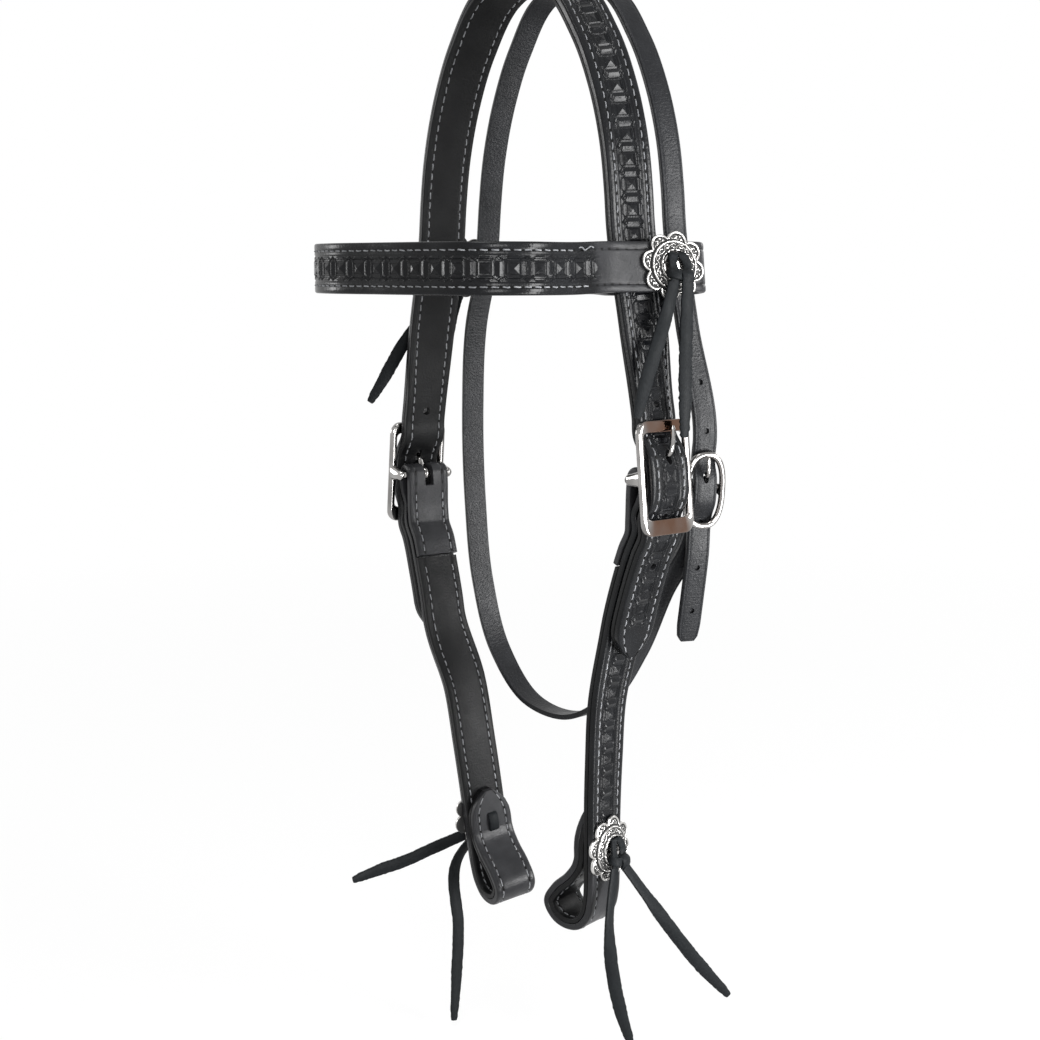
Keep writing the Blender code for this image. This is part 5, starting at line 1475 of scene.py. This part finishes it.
petal_cuts = (
    (0.50, [(-2.45, 14.15), (-1.60, 14.75)]),
    (0.42, [(-0.85, 15.75), (-0.05, 15.55), (0.55, 14.90), (0.30, 14.25), (-0.35, 14.15)]),
    (0.48, [(1.45, 14.15), (1.95, 14.65)]),
    (0.30, [(2.45, 15.30), (3.00, 14.55), (3.10, 13.95)]),
    (0.75, [(3.95, 13.85), (4.60, 13.55)]),
    (0.75, [(-3.95, 13.85), (-4.60, 13.55)]),
)
band_scrolls = (
    (0.30, [(-3.30, 10.00), (-2.85, 10.65), (-2.00, 10.85), (-1.20, 10.35)]),
    (0.30, [(3.30, 9.95), (2.70, 9.35), (1.85, 9.15), (1.05, 9.60)]),
    (0.24, [(-3.90, 9.15), (-3.0, 8.70), (-0.9, 8.95), (0.0, 9.90), (0.9, 10.85), (2.7, 10.65), (3.90, 9.15)]),
)
middle_cuts = ((0.34, [(0.0, 2.4), (0.9, 3.8), (0.6, 5.3), (0.0, 6.2)]),)


def cut_depth(x, y, cuts):
    """How deep the nearest cut is, from none to one."""
    depth = np.zeros(x.shape)
    for width, line in cuts:
        for start, end in zip(line[:-1], line[1:]):
            depth = np.maximum(depth, 1.45 - to_segment(x, y, start, end) / width)
    return np.clip(depth, 0.0, 1.0)


print("cuts", len(petal_cuts), "per petal, scrolls", len(band_scrolls), "per band")

# %% Strike one concho
PETAL_TURN = math.radians(-12.0)


def concho_mesh():
    around = 44 * PETALS
    rings = np.concatenate(
        [np.linspace(0.0, 7.0, 12), np.linspace(7.30, 12.2, 22), np.linspace(12.42, 17.6, 32)]
    )
    angle = np.arange(around) / around * 2 * math.pi
    step = 2 * math.pi / PETALS
    off = (angle + step / 2) % step - step / 2
    lobe, lobe_reach = 12.3, 5.3
    edge = lobe * np.cos(off) + np.sqrt(lobe_reach**2 - (lobe * np.sin(off)) ** 2)
    radius = rings[:, None] + 0 * angle[None]
    outer = radius > 12.40
    share = (radius - 12.40) / (17.6 - 12.40)
    radius = np.where(outer, 12.40 + share * (edge[None] - 12.40), radius)
    x = radius * np.sin(off)[None]
    y = radius * np.cos(off)[None]
    inset = lobe_reach - np.hypot(x, y - lobe)
    dome = 4.2 * np.sqrt(np.clip(1 - (radius / 16.5) ** 2, 0.0, 1.0)) - 0.15
    slope = np.interp(radius, (0.0, 12.0, 13.0, 18.0), (4.05, 2.7, 1.9, 1.25))
    height = np.where(radius < 12.5, np.minimum(dome, 4.15), slope)
    petal_zone = radius > 12.9
    rim = 0.50 * np.clip(1 - np.abs(inset - 0.50) / 0.75, 0.0, 1.0) ** 0.5 * (petal_zone | (inset < 0.9))
    bulge = 0.35 * np.clip(1 - (np.hypot(x / 3.6, (y - 14.6) / 1.6)) ** 2, 0.0, 1.0)
    ring = 0.55 * np.exp(-(((radius - 12.15) / 0.50) ** 2)) + 0.50 * np.exp(-(((radius - 7.75) / 0.42) ** 2))

    def line(value, middle, half, soft=0.16):
        return np.clip((half + soft - np.abs(value - middle)) / soft, 0.0, 1.0)

    channel = line(inset, 1.42, 0.27) * petal_zone
    channel = np.maximum(channel, line(radius, 13.05, 0.42))
    channel = np.maximum(channel, line(radius, 11.42, 0.18))
    channel = np.maximum(channel, line(radius, 8.42, 0.18))
    channel = np.maximum(channel, line(radius, 7.02, 0.24))
    petal = cut_depth(x, y, petal_cuts) * (radius > 13.2) * (inset > 1.0)
    band = (1 - cut_depth(x, y, band_scrolls)) * np.clip((11.45 - radius) / 0.2, 0.0, 1.0)
    band = band * np.clip((radius - 8.35) / 0.2, 0.0, 1.0)
    centre_cut = cut_depth(x, y, middle_cuts) * (radius < 7.0)
    depth = np.maximum.reduce([channel, petal, band, centre_cut])
    height = height + rim + bulge + ring - 0.45 * depth
    places = np.stack([radius * np.sin(angle)[None], radius * np.cos(angle)[None], height], axis=-1)
    loops = [places[1:].reshape(-1, 3)]
    for share, level in ((1.006, 0.85), (1.0, 0.30), (0.985, 0.0)):
        loops.append(np.stack([share * edge * np.sin(angle), share * edge * np.cos(angle), 0 * edge + level], axis=-1))
    loops.append([[0.0, 0.0, places[0, 0, 2]]])
    grid = np.concatenate(loops)
    # The disc's side and underside carry recess numbers of 0.3 and 0.6, so the silver is darker towards its lower
    # edge.
    recess = np.concatenate([depth[1:].ravel(), 0 * edge, 0 * edge + 0.3, 0 * edge + 0.6, [0.0]])
    levels = len(rings) + 2
    index = np.arange(levels * around).reshape(levels, around)
    turned = np.roll(index, -1, axis=1)
    quads = np.stack([index[:-1], turned[:-1], turned[1:], index[1:]], axis=-1).reshape(-1, 4)
    centre = levels * around
    faces = quads.tolist() + [[centre, turned[0, k], index[0, k]] for k in range(around)]
    faces.append(index[-1].tolist())
    mesh = bpy.data.meshes.new("concho")
    mesh.from_pydata((grid / 1000.0).tolist(), [], faces)
    mesh.transform(Matrix.Rotation(PETAL_TURN, 4, "Z"))
    layer = mesh.attributes.new("recess", "FLOAT", "POINT")
    layer.data.foreach_set("value", recess.astype(np.float32))
    return settle(mesh, 60.0)


struck = concho_mesh()
print("one concho", len(struck.polygons), "faces")

# %% Set the four conchos
BROW_TOP = (LOOP_OUT + LOOP_IN + OUTER) / 2
concho_seats = []
for half in halves:
    brow_place = half.brow.matrix(half.side * (STRAP_WIDTH + STRAP_GAP) / 2, LOOP_MIDDLE)
    concho_seats.append((half.name + "_brow", "crown", brow_place, BROW_TOP, BROW_TOP + CLEAR))
    body = half.name + "_cheek"
    bit_back = INNER_LEG + SEAM_TO_FACE
    concho_seats.append((half.name + "_bit", body, half.bit.matrix(), bit_back, SEAM_TO_FACE + CLEAR))
for name, body, place, back, front in concho_seats:
    mesh = struck.copy()
    mesh.transform(place @ Matrix.Translation((0.0, 0.0, front)))
    concho = piece(name + "_silver", mesh, body, engraved_silver, "engraved_silver", name + "_concho")
    slits = []
    for side in (-1, 1):
        centre = place @ Matrix.Translation((0.0, side * LACE_SPREAD, front))
        slits.append((centre, (LACE_WIDTH / 2 + SLIT_ROOM, LACE_LEATHER / 2 + SLIT_ROOM, 0.012)))
    cut(concho, slits, "box")
print("four conchos")

# %% [markdown]
# ## Lacing
# The string goes through two slits from behind, so it bridges the back of the leather. In front its
# two ends cross over the concho's dome and are pulled into one flat overhand knot below the middle.
# Each strand is a ribbon along a short curve, and the knot is a wrapped turn over a folded core.

# %% Lace and knot each concho
KNOT_DROP = -0.0040


def strand_mesh(name, place, rows, width, thick, taper=1.0):
    """A short ribbon from rows of local places and width directions, in millimetres."""
    turn = place.to_3x3()
    points = []
    for row in rows:
        spot = place @ (Vector(row[:3]) / 1000.0)
        wide = turn @ Vector(row[3:])
        points.append((*spot, *wide))
    run = Run(points)
    marks = np.linspace(0.0, run.length, 12 * len(rows))
    ends = np.minimum(marks, run.length - marks) / run.length
    half = width / 2 * np.interp(ends, (0.0, 0.2), (taper, 1.0))
    return ribbon_mesh(name, run, marks, half, thick)


def lacing(name, place, back, front):
    """The lace of one concho: a bridge behind, two strands over the dome, and the knot."""
    top = (front + CONCHO_CROWN) * 1000.0
    behind = -back * 1000.0
    spread = LACE_SPREAD * 1000.0
    bridge = [
        (0.0, spread, top - 0.5, 1, 0, 0),
        (0.0, spread, behind + 1.2, 1, 0, 0),
        (0.0, spread * 0.86, behind - 0.7, 1, 0, 0),
        (0.0, spread * 0.45, behind - 1.5, 1, 0, 0),
        (0.0, -spread * 0.45, behind - 1.5, 1, 0, 0),
        (0.0, -spread * 0.86, behind - 0.7, 1, 0, 0),
        (0.0, -spread, behind + 1.2, 1, 0, 0),
        (0.0, -spread, top - 0.5, 1, 0, 0),
    ]
    strands = [strand_mesh("bridge", place, bridge, LACE_WIDTH, LACE_LEATHER)]
    left = [
        (-1.2, spread, top - 1.2, 1, 0, 0),
        (-1.7, spread * 1.02, top + 0.7, 1, -0.1, -0.1),
        (-2.8, spread * 0.5, top + 1.7, 0.98, -0.1, -0.25),
        (-2.9, -0.8, top + 2.2, 0.97, 0.1, -0.25),
        (-2.3, -4.2, top + 2.9, 0.98, 0.1, -0.1),
        (-2.6, -7.6, top + 3.0, 1, 0, 0),
        (-3.1, -9.9, top + 2.5, 1, 0, 0),
    ]
    strands.append(strand_mesh("left_strand", place, left, 0.0052, LACE_LEATHER))
    right = [
        (2.0, spread, top - 1.2, 1, 0, 0),
        (2.6, spread * 1.02, top + 0.5, 1, 0.1, 0.1),
        (4.5, spread * 0.5, top + 1.3, 0.9, 0.35, 0.15),
        (5.5, -0.9, top + 1.6, 0.95, 0.1, 0.25),
        (4.4, -4.2, top + 2.2, 0.8, -0.6, 0.1),
        (1.2, -6.3, top + 1.9, 0.2, -1, 0),
        (-2.6, -5.6, top + 1.2, -0.3, -1, 0),
    ]
    strands.append(strand_mesh("right_strand", place, right, 0.0044, LACE_LEATHER))
    turn = [
        (-5.0, -3.4, top + 0.9, 0.35, 1, 0),
        (-5.5, -4.0, top + 2.6, 0.35, 1, 0),
        (-4.2, -4.9, top + 4.6, 0.30, 1, -0.2),
        (-1.2, -5.6, top + 5.2, 0.25, 1, -0.1),
        (1.4, -6.2, top + 4.0, 0.20, 1, 0.1),
        (3.4, -6.8, top + 2.4, 0.20, 1, 0),
    ]
    strands.append(strand_mesh("turn", place, turn, 0.0048, 0.0016))
    head = [
        (2.9, -5.6, top + 1.0, 1, 0, 0),
        (2.9, -4.1, top + 2.4, 1, 0, 0),
        (3.0, -3.7, top + 4.0, 1, 0.05, 0),
        (3.1, -4.6, top + 5.5, 1, 0.05, 0),
        (3.2, -6.6, top + 5.9, 1, 0, 0),
        (3.24, -8.6, top + 5.3, 1, 0, 0),
        (3.24, -9.9, top + 4.6, 1, 0, 0),
    ]
    strands.append(strand_mesh("head", place, head, 0.0066, 0.0018))
    return joined(name, strands)


for name, body, place, back, front in concho_seats:
    mesh = lacing(name + "_lacing", place, back, front)
    piece(name + "_lacing", mesh, body, string_leather, "string_leather", name + "_concho_string")
print("four laced knots")

# %% [markdown]
# ## Buckles
# A cheek buckle is a cast frame whose rails are round and whose top and foot are flat bars, with
# two ears behind that carry the centre bar. The oval buckle is one round bar bent to an oval. Both
# frames are swept: at each place round the frame a rounded section spans from the outer outline to
# the inner one, rounder on the rails and squarer on the flat bars.

# %% Outlines and the swept frame
def rounded_box(half_width, low, high, corner, steps=8, along=14):
    """Points round a box with round corners, the same number on each side."""
    middle, reach = (low + high) / 2, (high - low) / 2
    found = []
    for quarter in range(4):
        x = (half_width - corner) * (1 if quarter in (0, 3) else -1)
        y = middle + (reach - corner) * (1 if quarter in (0, 1) else -1)
        for step in range(steps + 1):
            angle = math.radians(90.0 * (quarter + step / steps))
            found.append((x + corner * math.cos(angle), y + corner * math.sin(angle), quarter, step))
        nx = (half_width - corner) * (1 if (quarter + 1) % 4 in (0, 3) else -1)
        ny = middle + (reach - corner) * (1 if (quarter + 1) % 4 in (0, 1) else -1)
        angle = math.radians(90.0 * (quarter + 1))
        start = np.array((x + corner * math.cos(angle), y + corner * math.sin(angle)))
        end = np.array((nx + corner * math.cos(angle), ny + corner * math.sin(angle)))
        for step in range(1, along):
            spot = start + (end - start) * step / along
            found.append((spot[0], spot[1], quarter, steps))
    return np.array([point[:2] for point in found])


def oval_points(half_width, half_height, count=112, squareness=2.6):
    angle = np.arange(count) / count * 2 * math.pi
    x, y = np.cos(angle), np.sin(angle)
    power = 2 / squareness
    return np.stack(
        [np.sign(x) * np.abs(x) ** power * half_width, np.sign(y) * np.abs(y) ** power * half_height], axis=1
    )


def swept_frame(name, outer, inner, lift, thick, flatness, around=20):
    """A closed bar between two outlines; flatness goes from round at 0 to flat at 1."""
    middle = (outer + inner) / 2
    reach = (outer - inner) / 2
    angle = np.arange(around) / around * 2 * math.pi
    places = np.zeros((len(outer), around, 3))
    for k, flat in enumerate(flatness):
        power = 2 / (2.15 + 3.2 * flat)
        across = np.sign(np.cos(angle)) * np.abs(np.cos(angle)) ** power
        rise = np.sign(np.sin(angle)) * np.abs(np.sin(angle)) ** power
        places[k, :, :2] = middle[k] + across[:, None] * reach[k]
        places[k, :, 2] = lift + thick / 2 + rise * thick / 2 * (1 - 0.12 * flat)
    count = len(outer) * around
    index = np.arange(count).reshape(len(outer), around)
    ahead, turned = np.roll(index, -1, axis=0), np.roll(index, -1, axis=1)
    both = np.roll(ahead, -1, axis=1)
    quads = np.stack([index, ahead, both, turned], axis=-1).reshape(-1, 4)
    mesh = bpy.data.meshes.new(name)
    mesh.from_pydata(places.reshape(-1, 3).tolist(), [], quads.tolist())
    # Painted reflection on the flat bars' fronts and painted shade on the inner side, kept as one number.
    front = np.clip((np.sin(angle) - 0.35) / 0.25, 0.0, 1.0)
    inward = np.clip((-np.cos(angle) - 0.25) / 0.3, 0.0, 1.0) * 0.7
    warmth = np.maximum(np.array(flatness)[:, None] * front[None], inward[None] * (0.25 + 0 * places[..., 0]))
    layer = mesh.attributes.new("warmth", "FLOAT", "POINT")
    layer.data.foreach_set("value", warmth.astype(np.float32).ravel())
    return settle(mesh, 60.0)


def turned_mesh(name, profile, steps=32):
    """A lathe piece round its own X: (x, radius) each; the first and last radius may be zero."""
    bm = bmesh.new()
    line = [bm.verts.new((x, 0.0, radius)) for x, radius in profile]
    edges = [bm.edges.new(pair) for pair in zip(line[:-1], line[1:])]
    bmesh.ops.spin(
        bm, geom=line + edges, cent=(0, 0, 0), axis=(1, 0, 0), angle=2 * math.pi, steps=steps, use_merge=True
    )
    bmesh.ops.remove_doubles(bm, verts=bm.verts, dist=0.000005)
    mesh = bpy.data.meshes.new(name)
    bm.to_mesh(mesh)
    bm.free()
    return settle(mesh, 50.0)


def bar_mesh(name, radius, reach):
    """A riveted pin with low domed ends."""
    ends = [(math.cos(a), math.sin(a)) for a in np.linspace(0.0, math.pi / 2, 6)]
    head = [(-reach - 0.22 * radius * c, radius * s) for c, s in ends]
    return turned_mesh(name, head + [(-x, r) for x, r in head[::-1]])


def ears_mesh(name, inner, width, radius, rise):
    """The two lugs behind a frame: a rounded drop each, from the pin up to the frame."""
    bm = bmesh.new()
    for side in (-1, 1):
        low = [(radius * 0.82 * math.sin(a), -radius * 0.82 * math.cos(a)) for a in np.linspace(1.75, -1.75, 19)][::-1]
        outline = low + [(radius * 1.12, rise * 0.7), (radius * 1.35, rise), (-radius * 1.35, rise), (-radius * 1.12, rise * 0.7)]
        for across, shrink in ((0.0, 0.90), (0.18, 1.0), (0.60, 0.94), (1.0, 0.55)):
            x = inner + across * width
            ring = []
            for y, z in outline:
                ring.append(bm.verts.new((side * x, y * shrink, z * shrink if z < 0 else z)))
            if across:
                for k in range(len(ring)):
                    n = (k + 1) % len(ring)
                    bm.faces.new((last[k], last[n], ring[n], ring[k]))
            else:
                bm.faces.new(ring)
            last = ring
        bm.faces.new(last[::-1])
    mesh = bpy.data.meshes.new(name)
    bm.to_mesh(mesh)
    bm.free()
    return settle(mesh, 35.0)


def tongue_mesh(name, points, radius, collar, collar_width, eye):
    """A wire tongue that swells from its collar and is flattened to a blunt tip."""
    curve = smooth_curve([(*point, 0.0) for point in points], 10)[:, :3]
    along = np.concatenate([[0.0], np.cumsum(np.linalg.norm(np.diff(curve, axis=0), axis=1))])
    share = along / along[-1]
    heading = np.gradient(curve, along, axis=0)
    heading /= np.linalg.norm(heading, axis=1)[:, None]
    wide = np.cross(heading, (0.0, 0.0, 1.0) if abs(heading[0][2]) < 0.9 else (0.0, 1.0, 0.0))
    wide = np.tile(np.array((1.0, 0.0, 0.0)), (len(curve), 1))
    wide -= (wide * heading).sum(axis=1)[:, None] * heading
    wide /= np.linalg.norm(wide, axis=1)[:, None]
    out = np.cross(wide, heading)
    size = radius * np.interp(share, (0.0, 0.08, 0.5, 0.95, 1.0), (1.3, 1.15, 1.0, 0.9, 0.55))
    angle = np.arange(14) / 14 * 2 * math.pi
    places = (
        curve[:, None]
        + wide[:, None] * (size[:, None] * np.cos(angle)[None])[..., None] * 1.1
        + out[:, None] * (size[:, None] * np.sin(angle)[None])[..., None] * 0.80
    )
    index = np.arange(len(curve) * 14).reshape(len(curve), 14)
    turned = np.roll(index, -1, axis=1)
    quads = np.stack([index[:-1], index[1:], turned[1:], turned[:-1]], axis=-1).reshape(-1, 4)
    rod = bpy.data.meshes.new("rod")
    rod.from_pydata(
        places.reshape(-1, 3).tolist(), [], quads.tolist() + [index[0].tolist(), index[-1][::-1].tolist()]
    )
    half = collar_width / 2
    soft = 0.22 * collar_width
    ring = [
        (-half, eye), (-half, collar - soft), (-half + soft, collar), (half - soft, collar),
        (half, collar - soft), (half, eye), (-half, eye),
    ]
    return joined(name, [rod, turned_mesh("collar", ring, 28)])


print("buckle helpers ready")

# %% Set the two cheek buckles
tongue_shares = (
    (0.0, 0.10, 0.25),
    (0.0, 0.265, 0.55),
    (0.0, 0.345, 0.92),
    (0.0, 0.39, 1.30),
    (0.10, 0.47, 1.46),
    (0.40, 0.62, 1.44),
)
TONGUE_TIP_SHARE = 0.885


def tongue_points(half_height, bulge, skew, tip):
    points = [(side * skew, up * half_height, out * bulge) for side, up, out in tongue_shares]
    return points + [(skew, TONGUE_TIP_SHARE * half_height, tip)]


RAIL = 0.0042
TOP_BAR = 0.0062
FOOT_BAR = 0.0082
CORNER = 0.0062
inside = HALF_WIDTH + 0.0010
outer = rounded_box(inside + RAIL, -BUCKLE_HALF_HEIGHT, BUCKLE_HALF_HEIGHT, CORNER)
inner = rounded_box(
    inside, -BUCKLE_HALF_HEIGHT + FOOT_BAR, BUCKLE_HALF_HEIGHT - TOP_BAR, CORNER / 2
)
level = (outer + inner) / 2
bars = np.clip((np.abs(level[:, 1]) - 0.0205) / 0.004, 0.0, 1.0) * np.clip((0.0150 - np.abs(level[:, 0])) / 0.004, 0.0, 1.0)
for half in halves:
    seat = half.buckle.matrix()
    name = half.name + "_cheek_buckle"
    plate = swept_frame("plate", outer, inner, BUCKLE_LIFT, BUCKLE_THICK, bars)
    ears = ears_mesh("ears", inside + 0.00055, 0.0034, 0.0037, BUCKLE_LIFT + BUCKLE_THICK / 2)
    mesh = joined(name + "_cast", [plate, ears])
    mesh.transform(seat)
    piece(name + "_cast", mesh, "crown", buckle_steel, "buckle_steel", name + "_frame")
    mesh = bar_mesh(name + "_pin", BAR_RADIUS, inside + 0.0020)
    mesh.transform(seat)
    piece(name + "_pin", mesh, "crown", buckle_steel, "buckle_steel", name + "_center_bar")
    tip = BUCKLE_LIFT + BUCKLE_THICK + 0.00125 + CLEAR
    points = tongue_points(BUCKLE_HALF_HEIGHT, BILLET_BULGE, 0.0045, tip)
    mesh = tongue_mesh(name + "_wire", points, 0.00125, 0.0043, 0.0036, BAR_RADIUS + BAR_FIT)
    mesh.transform(seat)
    piece(name + "_wire", mesh, half.name + "_tongue", buckle_steel, "buckle_steel", name + "_tongue")
print("cheek buckles")

# %% Set the throat latch's buckle
side = THROAT_HALF + 0.0018
OVAL_RAIL = 0.0033
plate = swept_frame(
    "oval",
    oval_points(side + OVAL_RAIL, OVAL_HALF_HEIGHT),
    oval_points(side, OVAL_HALF_HEIGHT - OVAL_RAIL),
    OVAL_LIFT,
    OVAL_THICK,
    np.zeros(112),
)
ears = ears_mesh("ears", side, OVAL_RAIL * 0.8, 0.0026, OVAL_LIFT + OVAL_THICK / 2)
mesh = joined("throat_buckle_cast", [plate, ears])
mesh.transform(oval.matrix())
piece("throat_buckle_cast", mesh, "crown", buckle_steel, "buckle_steel", "throat_buckle_frame")
mesh = bar_mesh("throat_buckle_pin", OVAL_BAR_RADIUS, side + OVAL_RAIL * 0.8)
mesh.transform(oval.matrix())
piece("throat_buckle_pin", mesh, "crown", buckle_steel, "buckle_steel", "throat_buckle_center_bar")
tip = OVAL_LIFT + OVAL_THICK + 0.0010 + CLEAR
points = tongue_points(OVAL_HALF_HEIGHT, OVAL_BULGE, 0.0, tip)
mesh = tongue_mesh("throat_buckle_wire", points, 0.0010, 0.0031, 0.0026, OVAL_BAR_RADIUS + BAR_FIT)
mesh.transform(oval.matrix())
piece("throat_buckle_wire", mesh, "throat_tongue", buckle_steel, "buckle_steel", "throat_buckle_tongue")
print("oval buckle")

# %% [markdown]
# ## Studio
# The photograph has a pure white ground and even light. A pale floor and a wide white world give
# that: where the camera looks past the headstall it sees white, and the same white stands in the
# steel and the waxed leather. Two large soft lamps give the long highlights along the straps.

# %% Floor, world and lamps
def white_ground():
    tree = Tree("pale_floor")
    path = tree.nodes.new("ShaderNodeLightPath")
    glow = tree.nodes.new("ShaderNodeEmission")
    glow.inputs["Color"].default_value = (1.0, 1.0, 1.0, 1.0)
    glow.inputs["Strength"].default_value = 1.0
    mix = tree.nodes.new("ShaderNodeMixShader")
    out = tree.nodes["Material Output"]
    tree.shader.inputs["Base Color"].default_value = (0.86, 0.86, 0.86, 1.0)
    tree.shader.inputs["Roughness"].default_value = 0.9
    seen = tree.math("MAXIMUM", path.outputs["Is Camera Ray"], path.outputs["Is Glossy Ray"])
    seen = tree.math("MAXIMUM", seen, path.outputs["Is Transmission Ray"])
    reach = tree.nodes.new("ShaderNodeTexGradient")
    reach.gradient_type = "SPHERICAL"
    shrink = tree.nodes.new("ShaderNodeMapping")
    shrink.inputs["Scale"].default_value = (0.55, 0.55, 0.55)
    tree.links.new(tree.place, shrink.inputs["Vector"])
    tree.links.new(shrink.outputs["Vector"], reach.inputs["Vector"])
    share = tree.spread(reach.outputs["Fac"], 0.0, 0.8, 1.0, 0.88)
    tree.links.new(tree.math("MULTIPLY", seen, share), mix.inputs["Fac"])
    tree.links.new(tree.shader.outputs["BSDF"], mix.inputs[1])
    tree.links.new(glow.outputs["Emission"], mix.inputs[2])
    tree.links.new(mix.outputs["Shader"], out.inputs["Surface"])
    return tree.material


floor_level = cad_box[0][2] - 0.004
bm = bmesh.new()
bmesh.ops.create_grid(bm, x_segments=8, y_segments=8, size=4.0)
floor_mesh = bpy.data.meshes.new("floor")
bm.to_mesh(floor_mesh)
bm.free()
floor = bpy.data.objects.new("floor", floor_mesh)
floor.location = (0.0, 0.0, floor_level)
bpy.context.scene.collection.objects.link(floor)
floor_mesh.materials.append(white_ground())

world = bpy.data.worlds.new("studio") if not bpy.data.worlds else bpy.data.worlds[0]
bpy.context.scene.world = world
world.use_nodes = True
nodes, links = world.node_tree.nodes, world.node_tree.links
background = nodes["Background"]
path = nodes.new("ShaderNodeLightPath")
seen = nodes.new("ShaderNodeMath")
seen.operation = "MAXIMUM"
mirrored_rays = nodes.new("ShaderNodeMath")
mirrored_rays.operation = "MAXIMUM"
links.new(path.outputs["Is Glossy Ray"], mirrored_rays.inputs[0])
links.new(path.outputs["Is Transmission Ray"], mirrored_rays.inputs[1])
links.new(path.outputs["Is Camera Ray"], seen.inputs[0])
links.new(mirrored_rays.outputs[0], seen.inputs[1])
strength = nodes.new("ShaderNodeMapRange")
strength.inputs["To Min"].default_value = 0.40
strength.inputs["To Max"].default_value = 1.0
links.new(seen.outputs[0], strength.inputs["Value"])
links.new(strength.outputs[0], background.inputs["Strength"])
background.inputs["Color"].default_value = (1.0, 1.0, 1.0, 1.0)


def soft_lamp(name, place, target, size, watts, tall=1.0):
    """An area lamp that faces a point; tall is its height over its width."""
    data = bpy.data.lights.new(name, "AREA")
    data.shape = "RECTANGLE"
    data.size = size
    data.size_y = size * tall
    data.energy = watts
    lamp = bpy.data.objects.new(name, data)
    lamp.location = place
    lamp.rotation_euler = (Vector(target) - Vector(place)).to_track_quat("-Z", "Y").to_euler()
    lamp.visible_camera = False
    bpy.context.scene.collection.objects.link(lamp)
    return lamp


def lamp_place(azimuth, rise, distance):
    """A place at an azimuth from -Y towards +X and a rise over the level, in degrees."""
    azimuth, rise = math.radians(azimuth), math.radians(rise)
    level = distance * math.cos(rise)
    return (level * math.sin(azimuth), -level * math.cos(azimuth), middle[2] + distance * math.sin(rise))


middle = (0.0, 0.0, -0.30)
soft_lamp("near_side", lamp_place(103, 10, 1.8), middle, 0.70, 33.0)
soft_lamp("low_near", lamp_place(93, -13, 0.70), middle, 0.20, 6.4, 2.1)
soft_lamp("by_camera", lamp_place(52, 6, 2.1), middle, 0.50, 14.0)
soft_lamp("overhead", lamp_place(25, 68, 1.8), middle, 0.60, 14.0)
soft_lamp("far_side", lamp_place(-66, 10, 1.9), middle, 0.60, 9.0)
soft_lamp("behind", lamp_place(172, 22, 2.0), middle, 0.80, 9.0)
bpy.context.scene.view_settings.view_transform = "Standard"
print("studio set")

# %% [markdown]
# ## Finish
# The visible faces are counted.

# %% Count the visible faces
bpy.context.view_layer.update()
total = sum(len(o.data.polygons) for o in bpy.data.objects if o.type == "MESH" and not o.hide_render)
print("visible faces", total)
